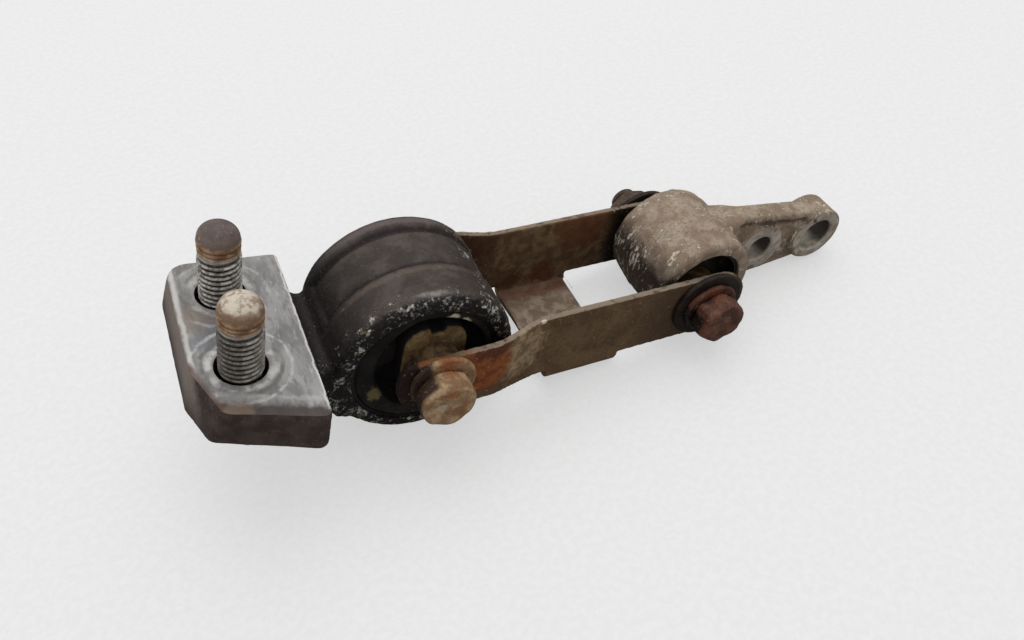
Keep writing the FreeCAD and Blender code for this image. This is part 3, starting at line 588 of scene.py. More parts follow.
# ---------------------------------------------------------------------------------------------
# Two steel bolts stand up through the plate, their heads and washers under it. Each has a
# rolled thread, a plain pilot with two ridges and a domed tip, stained by old grease.

BOLT_RADIUS = 6.0
PITCH = 1.75
THREAD_TOP = 28.9
TIP = 37.8
HEAD_ACROSS = 18.0
WASHER = 2.5
WASHER_RADIUS, WASHER_BORE = 12.0, 6.3


def hexagon(across, softness, steps=96, twist=0.0):
    """A hexagon with worn corners: its radius at an angle is half its width divided by the
    p-norm of how far it looks along each flat's direction, where p is the softness."""
    angle = np.linspace(0, 2 * pi, steps + 1)
    flats = np.arange(6)[:, None] * pi / 3 + twist
    facing = np.maximum(np.cos(angle - flats), 0) ** softness
    radius = across / 2 / facing.sum(0) ** (1 / softness)
    return np.stack([radius * np.cos(angle), radius * np.sin(angle)], -1)


def circle(radius, steps=96):
    """A closed circle about the origin."""
    angle = np.linspace(0, 2 * pi, steps + 1)
    return np.stack([radius * np.cos(angle), radius * np.sin(angle)], -1)


def thread_and_tip():
    """The bolt's shank: its radius follows the pilot's line near the tip, and below it a thread
    that climbs one pitch a turn, with a flat crest and a rounded root."""
    height = np.concatenate([np.arange(-WASHER, 12.0, 1.0), np.arange(12.0, THREAD_TOP, PITCH / 12),
                             np.linspace(THREAD_TOP, TIP, 64)])[:, None]
    angle = np.linspace(0, 2 * pi, 73)
    phase = np.mod(height / PITCH - angle / (2 * pi), 1)
    tooth = held(1.25 - 2.6 * abs(phase - 0.5))
    tooth = tooth * tooth * (3 - 2 * tooth)
    fresh = held((THREAD_TOP - 0.3 - height) / 1.2) * held((height - 11) / 1.5)
    plain = np.interp(height, [-3, 11, 12.5, 28.2, 28.7, 29.6, 30.1, 30.7, 31.3, 31.7, 32.2, 32.7, 33.1, TIP],
                      [5.4, 5.4, 5.0, 5.0, 5.75, 5.75, 5.4, 5.85, 5.85, 5.5, 5.9, 5.9, 5.75, 5.75])
    dome = np.sqrt(held(1 - held((height - 33.0) / (TIP - 33.0)) ** 2.3))
    radius = (plain + (BOLT_RADIUS - 5.0) * tooth * fresh) * dome
    return np.stack([radius * np.cos(angle), radius * np.sin(angle), height + 0 * angle], -1)


def closed_ends(grid):
    """Draws the first and last rows of a grid to their middles."""
    ends = grid[[0, -1]].mean(1, keepdims=True) + 0 * grid[[0, -1]]
    return np.concatenate([ends[:1], grid, ends[1:]])


def bolt_steel(name, tilt, centre, tip_tone, rim_tone, crest, left_shade):
    """Silvery thread with dark roots and painted shade down its left side, an orange-brown pilot and a dome
    stained by old lubricant.
    """
    finish, shader = new_finish(name, metallic=0.3, specular=0.5)
    place = millimetres(finish, centre, tilt)
    axis = add("SeparateXYZ", {"Vector": place}).outputs
    flat = add("CombineXYZ", {"X": axis["X"], "Y": axis["Y"]}).outputs["Vector"]
    away = add("VectorMath", {0: flat}, operation="LENGTH").outputs["Value"]
    tone = mottled(place, 1.6, seen(118, 111, 103), crest)
    # Painted shade: the thread darkened down its left side, by each bolt's share.
    shade = fade(uneven(place, axis["X"], 2, 3), 1.5, -4.5)
    tone = over(shade, tone, seen(56, 48, 43), left_shade)
    tone = over(fade(away, 5.85, 5.3), tone, seen(30, 25, 22), 0.95)
    height = uneven(place, axis["Z"], 2, 0.8)
    pilot = mottled(place, 3.0, seen(128, 90, 60), seen(190, 156, 122))
    tone = over(band(height, 28.5, 1.2), tone, seen(206, 194, 176), 0.6)
    tone = over(fade(height, 29.3, 29.8), tone, pilot, 0.95)
    for groove in (30.1, 31.7):
        tone = over(band(axis["Z"], groove, 0.5), tone, seen(86, 56, 38), 0.7)
    dome = over(fade(uneven(place, away, 2.5, 2.5), 5.6, 4.2), rim_tone, tip_tone)
    dome = over(fade(grain(place, 2.0, 6, 0.3, 0.7), 0.44, 0.62), dome, rim_tone, 0.75)
    tone = over(fade(height, 32.8, 34.0), tone, dome)
    flecks = fade(grain(place, 0.8, 5), 0.62, 0.7)
    tone = over(flecks, tone, seen(222, 212, 196), 0.45)
    colour(shader, tone)
    rough(shader, fade(height, 29, 32), 0.36, 0.75)
    relief(shader, [(grain(place, 0.5, 4), 0.05), (grain(place, 1.4, 4), 0.14)])
    return finish


# Each bolt: side, tip and rim tones of the dome, thread crest tone, and the share of painted shade down the
# thread's left side.
FLANGE_BOLTS = {"front": (-1, seen(216, 206, 190), seen(138, 110, 88), seen(176, 170, 162), 0.7),
                "rear": (1, seen(100, 88, 85), seen(122, 106, 98), seen(216, 212, 206), 0.15)}
head_reach = [0, 0.86, 0.95, 1.0, 1.0, 0.98, 0]
head_rows = -WASHER - np.array([7.5, 7.5, 7.2, 6.3, 0.3, 0, 0])
for name, (side, tip_tone, rim_tone, crest, left_shade) in FLANGE_BOLTS.items():
    foot = placed(np.array([BOLT_LINE, side * BOLT_SIDE, PLATE_BOTTOM]), RING_CENTRE, HOUSING_TILT)
    head = stacked(hexagon(HEAD_ACROSS, 26), head_reach, head_rows)
    bolt = new_piece("bolt_up_" + name, [placed(closed_ends(thread_and_tip()), foot, HOUSING_TILT),
                                         placed(head, foot, HOUSING_TILT)], 50)
    dress(bolt, bolt_steel("bolt_steel_" + name, HOUSING_TILT, foot, tip_tone, rim_tone, crest, left_shade))
    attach(bolt, "housing")
    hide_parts("flange_bolt_" + name)


def washer_rows(radius, bore, thick, edge=0.35):
    """A washer's section, its four corners rounded, as (radius, height)."""
    return rounded([(bore, 0, edge), (radius, 0, edge), (radius, thick, edge), (bore, thick, edge)])


def dull_steel(name, base, dark, rust, amount):
    """Plain old steel: one tone broken by a darker one, with rust where damp sat."""
    finish, shader = new_finish(name, metallic=0.15, specular=0.25)
    place = millimetres(finish)
    tone = mottled(place, 2.5, dark, base)
    mask = fade(grain(place, 3.4, 5, 0.3), 0.62 - amount, 0.74 - amount)
    tone = over(mask, tone, mottled(place, 0.8, rust, dark), 0.8)
    colour(shader, tone)
    rough(shader, mask, 0.5, 0.85)
    relief(shader, [(grain(place, 0.7, 5), 0.14), (mask, 0.06)])
    return finish


hidden_steel = dull_steel("hidden_steel", seen(112, 104, 96), seen(74, 64, 56), seen(110, 66, 38), 0.06)
for name, (side, *_) in FLANGE_BOLTS.items():
    foot = placed(np.array([BOLT_LINE, side * BOLT_SIDE, PLATE_BOTTOM]), RING_CENTRE, HOUSING_TILT)
    rows = washer_rows(WASHER_RADIUS, WASHER_BORE, WASHER)
    grid = turned(rows - np.array([0, WASHER]), 96)[..., [0, 2, 1]]
    ring = new_piece("washer_under_" + name, [placed(grid, foot, HOUSING_TILT)])
    dress(ring, hidden_steel)
    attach(ring, "housing")
    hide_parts("flange_bolt_washer_" + name)


# ---------------------------------------------------------------------------------------------
# The large bush: a thin steel sleeve pressed into the ring, rubber moulded to it as a lining
# and two arms, and a notched aluminium core that sits high and to one side between open voids.

SLEEVE_BORE = 22.0
LINING = 2.6
CORE_ALONG, CORE_UP = 1.1, 3.5
CORE_WIDTH, CORE_HEIGHT, CORE_HALF = 19.4, 26.6, 19.2

sleeve_steel = dull_steel("sleeve_steel", seen(36, 31, 29), seen(22, 18, 17), seen(60, 50, 44), 0.0)
dress(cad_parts["large_bush_sleeve"], sleeve_steel)

lining_half = RING_HALF - 0.5
lining_line = rounded([(SLEEVE_BORE - LINING, -lining_half, 1.1), (SLEEVE_BORE, -lining_half, 0.2),
                       (SLEEVE_BORE, lining_half, 0.2), (SLEEVE_BORE - LINING, lining_half, 1.1)])
lining_grid = turned(evenly(lining_line, 0.9), 150)
swell = held(np.cos(np.arctan2(lining_grid[..., 2], lining_grid[..., 0]) - radians(195)))
swell = swell * (np.hypot(lining_grid[..., 0], lining_grid[..., 2]) < 21) * (lining_grid[..., 1] < -8)
lining_grid[..., [0, 2]] *= 1 - 0.2 * swell[..., None]
arm_grids = []
for side in (-1, 1):
    share = np.linspace(0, 1, 20)[:, None]
    inner_end = CORE_ALONG + side * (CORE_WIDTH / 2 - 0.4)
    outer_end = side * (SLEEVE_BORE - 1.0)
    x = inner_end + (outer_end - inner_end) * share
    waist = (2 * share - 1) ** 2
    y = (12.2 + (1.0 - side) * share + 0.8 * waist) * corner(np.cos(turn_round))
    z = CORE_UP - (1.0 - side) * 1.5 * share + (5.0 + (1.0 - side) * 1.6 * share + 1.6
                                                * waist) * corner(np.sin(turn_round))
    arm_grids.append(closed_ends(np.stack([x + 0 * y, y, z], -1)))
rubber = new_piece("bush_rubber", [placed(grid, RING_CENTRE, HOUSING_TILT) for grid in [lining_grid]
                                   + arm_grids])
fused(rubber, 0.65, 6)
raise_skin(rubber, lambda points: 0.12 * (lumps(points, 4, 11) - 0.6))


def old_rubber():
    """Black moulded rubber, chalky and dusty where it has weathered, stained yellow low down, with two
    painted highlights on the edge of the bore.
    """
    finish, shader = new_finish("old_rubber", specular=0.2)
    place = millimetres(finish)
    tone = mottled(place, 5, seen(20, 17, 16), seen(40, 34, 31))
    salts = fade(uneven(place, grain(place, 1.1, 5, 0.2, 0.7), 5, 0.3), 0.64, 0.72)
    tone = over(salts, tone, seen(140, 134, 124), 0.8)
    tone = over(spot(place, (-66.8, -18.0, 23.6), 3.4, 5.0, 1.5), tone, seen(126, 112, 74), 0.7)
    # Two painted highlights: pale streaks on the top of the bore's front edge.
    for crust_and_highlight in ((-40.9, -18.0, 45.2), (-37.4, -18.0, 41.8)):
        tone = over(spot(place, crust_and_highlight, 2.4, 2.4, 1.5), tone, seen(204, 194, 168), 0.9)
    colour(shader, tone)
    rough(shader, grain(place, 2, 3), 0.6, 0.9)
    relief(shader, [(grain(place, 0.8, 4), 0.12), (salts, 0.1)])
    return finish


dress(rubber, old_rubber())
smooth(rubber, 60)
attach(rubber, "housing")
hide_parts("large_bush_rubber")

# The core's outline, a tall block with a notch in the middle of each end.
half_core = [(CORE_WIDTH / 2, CORE_HEIGHT / 2, 6.4), (2.6, CORE_HEIGHT / 2, 0.8),
             (2.0, CORE_HEIGHT / 2 - 2, 0.7)]
core_corners = half_core + [(-x, z, r) for x, z, r in reversed(half_core)]
core_corners += [(-x, -z, r) for x, z, r in core_corners]
core_outline = evenly(rounded(core_corners), 0.45)
around = np.arctan2(core_outline[:, 1], core_outline[:, 0])
core_bore = 7.98 * np.stack([np.cos(around), np.sin(around)], -1)
core_reach = [0, 0.5, 0.88, 0.96, 1] + [1] * 34 + [1, 0.96, 0.88, 0.5, 0, 0]
core_rows = [-CORE_HALF, -CORE_HALF, -CORE_HALF, -CORE_HALF + 0.25, -CORE_HALF + 1.0] + list(
    np.linspace(-CORE_HALF + 1.9, CORE_HALF - 1.9, 34)) + [CORE_HALF - 1.0, CORE_HALF - 0.25, CORE_HALF,
                                                           CORE_HALF, CORE_HALF, -CORE_HALF]
core_centre = placed(np.array([CORE_ALONG, 0, CORE_UP]), RING_CENTRE, HOUSING_TILT)
core_grid = stacked(core_outline, core_reach, core_rows, inner=core_bore)[..., [0, 2, 1]]
core = new_piece("bush_core", [placed(core_grid, core_centre, HOUSING_TILT)])
raise_skin(core, lambda points: 0.2 * (lumps(points, 3, 21) - 0.75) + 0.08 * (lumps(points, 1, 22) - 0.6))


def core_metal():
    """Old cast metal gone yellow-brown, bare at the two ends and under black rubber between."""
    finish, shader = new_finish("core_metal", specular=0.25)
    place = millimetres(finish)
    tone = mottled(place, 3, seen(88, 68, 42), seen(120, 100, 66), 5)
    tone = over(fade(grain(place, 1.2, 4), 0.52, 0.7), tone, seen(60, 44, 26), 0.8)
    axis = add("SeparateXYZ", {"Vector": place}).outputs
    inside = fade(uneven(place, math("ABSOLUTE", axis["Y"]), 2, 1.0), CORE_HALF - 0.4, CORE_HALF - 1.2)
    tone = over(inside, tone, seen(20, 17, 16))
    colour(shader, tone)
    rough(shader, grain(place, 2, 3), 0.6, 0.9)
    relief(shader, [(grain(place, 0.8, 5), 0.2)])
    return finish


dress(core, core_metal())
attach(core, "housing")
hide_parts("large_bush_core")


# ---------------------------------------------------------------------------------------------
# The link: one folded steel pressing. Two side plates stand beside the ring and the small bush,
# flared apart at the ring, and a web joins them low down between. It is rusty at the big bolt.

LINK_CENTRE = core_centre
LINK_TILT = 7.1
SHEET = 2.6
LINK_OUTER, FLARE_OUTER = 21.6, 26.8
FAR_BOLT = (96.5, -2.5)


NEAR_END, FAR_END, FAR_END_AT, FAR_END_DROP = 13.6, 12.7, 100.0, 4.5


def eased(x, start, end):
    """Goes smoothly from 0 before the start to 1 after the end."""
    share = held((x - start) / (end - start))
    return share * share * (3 - 2 * share)


def round_ends(x):
    """Half heights of the plate's two ends: circles about the big bolt and near the small one."""
    near = np.sqrt(np.maximum(NEAR_END ** 2 - np.minimum(x, 0) ** 2, 0))
    far = np.sqrt(np.maximum(FAR_END ** 2 - np.maximum(x - FAR_END_AT, 0) ** 2, 0))
    return near, far


def plate_top_line(x):
    """The plate's upper edge: round about the big bolt, a fall to the long middle, round again."""
    straight = np.interp(x, [5.0, 7.5, 28.5, 31.5], [12.9, 12.6, 8.6, 8.4])
    near, far = round_ends(x)
    return np.minimum(np.minimum(straight, near - 0.7), far - FAR_END_DROP)


def plate_low_line(x):
    """The lower edge: round about the big bolt, down to the web, up again past it."""
    straight = -14.5 - 2.9 * eased(x, 20.0, 35.0) - 3.2 * eased(x, 34.5, 38.5) + 3.4 * eased(x, 65.5, 73.5)
    near, far = round_ends(x)
    return np.maximum(np.maximum(straight, -near - 0.9 - 20 * (x > 0)), -far - FAR_END_DROP)


def side_plate(side):
    """One plate: a section of its own height carried along x, its edges rounded, bent out
    beside the ring; y = middle of the sheet + half its thickness round the section."""
    x = np.concatenate([-NEAR_END * np.cos(np.linspace(0, pi / 2, 24))[:-1], np.linspace(0, FAR_END_AT, 140),
                        FAR_END_AT + FAR_END * np.sin(np.linspace(0, pi / 2, 24))[1:]])[:, None]
    high, low = plate_top_line(x), plate_low_line(x)
    middle = (high + low) / 2
    half = (high - low) / 2
    turn = np.linspace(0, 2 * pi, 57)
    across = np.sign(np.cos(turn)) * abs(np.cos(turn)) ** 0.18
    along = np.clip(np.sin(turn) * 1.25, -1, 1)
    edge = np.minimum(half, 0.6)
    z = middle + (half - edge) * along + edge * np.sign(np.sin(turn)) * abs(np.sin(turn)) ** 0.5
    bent = LINK_OUTER - SHEET / 2 + (FLARE_OUTER - LINK_OUTER) * eased(x, 37.0, 16.0)
    y = bent + SHEET / 2 * across * np.minimum(half / 0.8, 1)
    return np.stack([x + 0 * z, side * y, z], -1)


def web():
    """The web: a U-shaped section of sheet, its bends round, carried along x; its two free
    edges bow in a little."""
    half, low, thick, bend = LINK_OUTER, -22.4, SHEET, 3.6
    section = rounded([(half, low, bend), (half, low + 7.5, 0.6), (half - thick, low + 7.5, 0.6),
                       (half - thick, low + thick, 1.6),
                       (-half + thick, low + thick, 1.6), (-half + thick, low + 7.5, 0.6),
                       (-half, low + 7.5, 0.6), (-half, low, bend)])
    section = evenly(section, 0.8)
    share = np.array([0, 0, 0.01, 0.03] + list(np.linspace(0.08, 0.92, 30)) + [0.97, 0.99, 1, 1])[:, None]
    start = 39.0 + 1.3 * (1 - (section[:, 0] / half) ** 2)
    end = 65.8 - 0.4 * (1 - (section[:, 0] / half) ** 2)
    x = start + (end - start) * share
    grid = np.stack([x, section[:, 0] + 0 * x, section[:, 1] + 0 * x], -1)
    return closed_ends(grid)


link_grids = [side_plate(-1), side_plate(1), web()]
link = new_piece("link_pressing", [placed(grid, LINK_CENTRE, LINK_TILT) for grid in link_grids])
fused(link, 0.5, 3)


def pressing_height(points):
    """Dents and slow waves in the sheet, and scale pitting near the big bolt."""
    x, _, z = unplaced(points, LINK_CENTRE, LINK_TILT).T
    near_bolt = held((34 - np.hypot(x, z + 2)) / 14)
    pits = held(lumps(points, 1.3, 33) - 0.55)
    waves = 0.14 * (lumps(points, 9, 31) - 0.8) + 0.05 * (lumps(points, 2, 32) - 0.8)
    return waves - pits * (0.04 + 0.25 * near_bolt)


raise_skin(link, pressing_height)


def rusted_sheet():
    """Khaki-brown old plating with painted highlights along its upward-facing top edges, red-brown
    rust in the hollows, a paler web, and an orange patch beside the big bolt's head."""
    finish, shader = new_finish("rusted_sheet", specular=0.2)
    place = millimetres(finish, LINK_CENTRE, LINK_TILT)
    axis = add("SeparateXYZ", {"Vector": place}).outputs
    facing = finish.node_tree.nodes.new("ShaderNodeTexCoord").outputs["Normal"]
    facing_up = add("SeparateXYZ", {"Vector": facing}).outputs["Z"]
    tone = mottled(place, 11, seen(88, 67, 46), seen(110, 88, 63))
    tone = over(fade(grain(place, 1.5, 6, 0.3, 0.7), 0.5, 0.68), tone, seen(70, 53, 37), 0.6)
    tone = over(fade(grain(place, 1.1, 6, 0.3, 0.7), 0.54, 0.68), tone, seen(142, 123, 96), 0.5)
    inner = fade(axis["Y"], 6, 12)
    tone = over(inner, tone, mottled(place, 4, seen(90, 68, 46), seen(136, 112, 84), 6), 0.75)
    for centre, reach, tint, share in (((26.0, 19.0, 6.0), 15.0, seen(76, 46, 29), 0.75),
                                       ((70.0, 19.0, 4.0), 13.0, seen(98, 54, 34), 0.7),
                                       ((42.0, 19.0, -13.0), 6.0, seen(86, 50, 34), 0.6),
                                       ((56.0, 19.0, -14.0), 5.5, seen(96, 52, 36), 0.75)):
        tone = over(both(spot(place, centre, reach, 10.0), inner), tone, tint, share)
    tone = over(both(fade(uneven(place, axis["X"], 3, 4), 77, 84), inner), tone, seen(22, 18, 17), 0.9)
    floor = both(fade(axis["Z"], -17.6, -19.2), fade(facing_up, 0.4, 0.8))
    tone = over(floor, tone, mottled(place, 3, seen(134, 115, 97), seen(178, 160, 141), 6), 0.95)
    tone = over(both(floor, fade(uneven(place, axis["Y"], 3, 5), 11.5, 16)), tone, seen(120, 74, 55), 0.7)
    tone = over(both(floor, spot(place, (61.0, 1.0, -19.8), 5.0, 6.0)), tone, seen(124, 96, 74), 0.6)
    near = fade(axis["Y"], -12, -16)
    tone = over(both(near, fade(uneven(place, axis["X"], 6, 12), 60, 84)), tone, seen(74, 56, 43), 0.7)
    khaki = mottled(place, 2.5, seen(120, 98, 72), seen(176, 152, 120), 6)
    tone = over(both(near, spot(place, (27.0, -25.0, -1.0), 11.5, 12.0)), tone, khaki, 0.8)
    rust = both(near, spot(place, (12.5, -26.8, 0.0), 12.5, 6.0))
    tone = over(rust, tone, mottled(place, 3, seen(112, 58, 30), seen(152, 84, 40)), 0.92)
    tone = over(both(near, spot(place, (16.0, -26.8, 9.5), 8.0, 5.0)), tone, seen(82, 45, 31), 0.85)
    tone = over(both(near, fade(uneven(place, axis["X"], 3, 4), -3.5, -7.0)), tone, seen(26, 15, 12), 0.95)
    tone = over(both(near, spot(place, (-3.5, -26.8, 11.5), 6.0, 4.0)), tone, seen(134, 86, 54), 0.85)
    # Painted highlight: pale top edges of the plates, where they face up to the light.
    rim = both(both(fade(facing_up, 0.72, 0.92), fade(axis["Z"], 5, 7)), fade(axis["X"], 2, 12))
    rim = both(rim, fade(grain(place, 2.5, 4), 0.3, 0.5))
    tone = over(rim, tone, seen(152, 138, 122), 0.7)
    flecks = fade(grain(place, 0.9, 5), 0.64, 0.72)
    tone = over(flecks, tone, seen(190, 172, 142), 0.55)
    tone = over(spot(place, (34.5, -21.8, 8.2), 1.4, 1.8, 1.0), tone, seen(226, 214, 192), 0.8)
    colour(shader, tone)
    rough(shader, grain(place, 3, 4), 0.5, 0.85)
    relief(shader, [(grain(place, 0.8, 5), 0.22), (grain(place, 3, 4), 0.2), (rust, 0.1)])
    return finish


dress(link, rusted_sheet())
smooth(link, 40)
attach(link, "link")
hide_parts("link_frame")


# ---------------------------------------------------------------------------------------------
# The big cross bolt through the core: a flanged head at the front, its corners worn nearly
# round, a spacer tube inside the core, and a washer and nut at the back.

BIG_BOLT, BIG_PITCH, BIG_END = 6.0, 1.75, 37.1
BIG_COLLAR, COLLAR_THICK = 10.2, 2.0
BIG_WASHER = (11.6, 6.3, 2.0)
BIG_NUT, BIG_NUT_HEIGHT = 15.8, 6.4


def lathe_head(outline, start, height, edge, dish=0.3):
    """A hexagon head standing on y = start towards the front, its outer edge turned round and
    its face dished a little."""
    reach = [0, 0.5, 0.82, 0.89, 0.945, 0.985, 1.0, 1.0, 1.0, 0]
    rise = np.array([height - dish, height - dish * 0.8, height - 0.1, height, height - edge * 0.25,
                     height - edge * 0.7, height - edge * 1.3, height * 0.4, -0.3, -0.3])
    return stacked(outline, reach, -start - rise)[..., [0, 2, 1]]


def collar(radius, start, thick, edge):
    """A round flange from y = -start towards the front."""
    line = rounded([(0, -start, 0.001), (radius, -start, edge * 0.6), (radius, -start - thick, edge),
                    (0, -start - thick, 0.001)])
    return turned(line, 96)


def shank(radius, low, high, end=0.8):
    """A plain round bar along Y with its far end chamfered."""
    line = np.array([(0, low), (radius, low), (radius, high - end), (radius - end, high), (0, high)])
    return turned(line, 64)


def threaded(radius, pitch, low, high):
    """A bar's end along Y with a shallow thread: radius falls by a share of the pitch between
    crests, one pitch a turn."""
    y = np.arange(low, high, pitch / 8)[:, None]
    angle = np.linspace(0, 2 * pi, 49)
    phase = np.mod(y / pitch - angle / (2 * pi), 1)
    worn = held(y - high + 0.5) * 0.8
    r = radius - 0.35 * pitch * held(2.4 * abs(phase - 0.5) - 0.15) - worn
    return closed_ends(np.stack([r * np.cos(angle), y + 0 * angle, r * np.sin(angle)], -1))


def nut_grid(across, bore, low, high, softness=24):
    """A nut along Y: its section drawn between the bore's circle and the hexagon, corners
    turned down at both ends."""
    outline = hexagon(across, softness, twist=radians(20))
    reach = [0, 0.7, 0.93, 1, 1, 0.93, 0.7, 0, 0]
    rows = [low, low, low + 0.25, low + 1.0, high - 1.0, high - 0.25, high, high, low]
    return stacked(outline, reach, rows, inner=circle(bore))[..., [0, 2, 1]]


big_head = lathe_head(hexagon(17.0, 7, twist=radians(8)), FLARE_OUTER + 1.8, 7.8,
                      2.2) + np.array([-1.0, 0, -1.1])
big_bolt = new_piece("cross_bolt_large", [placed(grid, LINK_CENTRE, LINK_TILT) for grid in (
    big_head, collar(BIG_COLLAR, FLARE_OUTER, COLLAR_THICK, 1.1),
    shank(BIG_BOLT, -FLARE_OUTER, FLARE_OUTER + 1), threaded(BIG_BOLT, BIG_PITCH, FLARE_OUTER, BIG_END))], 50)


def head_height(size, depth, seed, front):
    """Lets the front of a bolt head sink in soft dents and rise in scale, nothing behind."""
    def height(points):
        y = points[:, 1]
        at_front = held((front - y) / 2)
        return at_front * depth * (lumps(points, size, seed) * 0.7 + lumps(points, size * 0.4, seed + 1)
                                   * 0.3 - 0.65)
    return height


def divided(piece, times):
    """Divides a piece's faces so that dents have points to move."""
    split = piece.modifiers.new("divided", "SUBSURF")
    split.levels = split.render_levels = times
    return settle(piece)


divided(big_bolt, 1)
raise_skin(big_bolt, head_height(4.5, 1.0, 41, -FLARE_OUTER))


def head_steel(name, centre, tilt, base, dark, rust, left_shade, marks):
    """A corroded bolt head: scale over brown, with rust pits, its left flats painted dark as shade,
    and a few set marks."""
    finish, shader = new_finish(name, specular=0.25)
    place = millimetres(finish, centre, tilt)
    axis = add("SeparateXYZ", {"Vector": place}).outputs
    tone = mottled(place, 4, dark, base, 5)
    mask = fade(grain(place, 3.0, 5, 0.3), 0.56, 0.7)
    tone = over(mask, tone, rust, 0.6)
    pits = fade(grain(place, 1.0, 5), 0.52, 0.68)
    tone = over(pits, tone, dark, 0.7)
    # Painted shade on the head's left flats, given as front, tone, left edge and low edge.
    front, left_shade_tone, left, low = left_shade
    left_flats_shade = both(fade(uneven(place, axis["X"], 2, 2), left, left - 2.5),
                  fade(axis["Y"], front + 1.2, front + 2.6))
    left_flats_shade = both(left_flats_shade, fade(uneven(place, axis["Z"], 2, 2), low + 2.5, low))
    tone = over(left_flats_shade, tone, left_shade_tone, 0.93)
    for mark_at, reach, mark_tone in marks:
        tone = over(spot(place, mark_at, reach, reach * 0.9, 1.4), tone, mark_tone, 0.75)
    flecks = fade(grain(place, 0.7, 5), 0.64, 0.72)
    tone = over(flecks, tone, seen(220, 202, 174), 0.45)
    colour(shader, tone)
    rough(shader, mask, 0.5, 0.85)
    relief(shader, [(grain(place, 0.7, 5), 0.26), (grain(place, 2.0, 4), 0.35), (pits, -0.15)])
    return finish


big_front = -FLARE_OUTER - 9.6
dress(big_bolt, head_steel(
    "big_head_steel", LINK_CENTRE, LINK_TILT, seen(182, 154, 120), seen(136, 104, 74), seen(148, 90, 50),
    # painted shade on the left flats: front, tone, left edge, low edge
    (big_front, seen(34, 20, 14), -2.5, 30),
    [((1.5, -FLARE_OUTER - 2.0, 9.5), 5.0, seen(142, 84, 50)),
     ((-0.4, big_front, 4.2), 2.2, seen(156, 92, 42)),
     ((-3.5, big_front, -1.0), 2.4, seen(190, 172, 144)), ((2.0, big_front, -4.0), 3.0, seen(130, 90, 58))]))
smooth(big_bolt, 50)
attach(big_bolt, "link")
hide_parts("large_cross_bolt")

rusty_fastener = dull_steel("rusty_fastener", seen(104, 88, 74), seen(70, 56, 46), seen(84, 56, 40), 0.04)
behind = FLARE_OUTER
washer = new_piece("washer_large", [placed(turned(washer_rows(*BIG_WASHER) + np.array([0, behind]), 96),
                                           LINK_CENTRE, LINK_TILT)])
nut = new_piece("nut_large", [placed(nut_grid(BIG_NUT, BIG_BOLT, behind + BIG_WASHER[2], behind
                                              + BIG_WASHER[2] + BIG_NUT_HEIGHT), LINK_CENTRE, LINK_TILT)])
for piece, node_name in ((washer, "large_bolt_washer"), (nut, "large_bolt_nut")):
    dress(piece, rusty_fastener)
    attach(piece, "link")
    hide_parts(node_name)
spacer_steel = dull_steel("spacer_steel", seen(100, 80, 54), seen(58, 43, 29), seen(88, 56, 34), 0.05)
for node_name, finish in (("large_bush_spacer", spacer_steel), ("small_bush_spacer", spacer_steel),
                          ("small_bush_sleeve", sleeve_steel)):
    dress(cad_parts[node_name], finish)


# ---------------------------------------------------------------------------------------------
# The arm: an aluminium casting, a crowned barrel round the small bush with a tapered arm out of
# it. Two faces on the arm are machined and bored; the rest is as the mould left it, with scars.

FAR_CENTRE = placed(np.array([FAR_BOLT[0], 0, FAR_BOLT[1]]), LINK_CENTRE, LINK_TILT)
ARM_TILT = 7.1
ARM_CENTRE = placed(np.array([1.4, -1.05, 2.6]), FAR_CENTRE, ARM_TILT)
EYE_RADIUS, EYE_BORE, EYE_HALF = 18.1, 13.9, 16.45
ARM_HALF = 4.5
FACE_RISE, BOSS_RISE, END_BOSS_BACK = 1.3, 1.4, 1.7
NEAR_HOLE, FAR_HOLE = (31.2, 5.25, 10.2), (57.4, 6.7, 10.8)

eye_line = rounded([(EYE_BORE - 0.5, -EYE_HALF, 0.3), (EYE_RADIUS, -EYE_HALF, 1.6),
                    (EYE_RADIUS + 1.0, -6.0, 12.0),
                    (EYE_RADIUS + 1.0, 5.0, 12.0), (EYE_RADIUS, EYE_HALF, 4.2),
                    (EYE_BORE - 0.5, EYE_HALF, 0.3)], 12)
eye_grid = turned(evenly(eye_line, 0.6), 180)
arm_x = np.linspace(9, 58, 60)[:, None]
arm_half_height = np.interp(arm_x, [9, 57.4], [16.6, 9.8])
arm_half_thick = ARM_HALF + 0.15 + 2.2 * eased(arm_x, 23, 16)
arm_y = arm_half_thick * corner(np.cos(turn_round))
arm_z = arm_half_height * corner(np.sin(turn_round))
arm_grid = closed_ends(np.stack([arm_x + 0 * arm_y, arm_y, arm_z], -1))
bosses = []
for (along, _, radius), back in ((NEAR_HOLE, 0), (FAR_HOLE, ARM_HALF + END_BOSS_BACK)):
    front = -ARM_HALF - BOSS_RISE
    line = rounded([(0, front, 0.001), (radius, front, 0.9), (radius, back, 1.6), (0, back, 0.001)])
    bosses.append(turned(line, 96) + np.array([along, 0, 0]))
bracket = new_piece("arm_casting", [placed(grid, ARM_CENTRE, ARM_TILT) for grid in [eye_grid, arm_grid]
                                    + bosses])
fused(bracket, 0.5, 4)


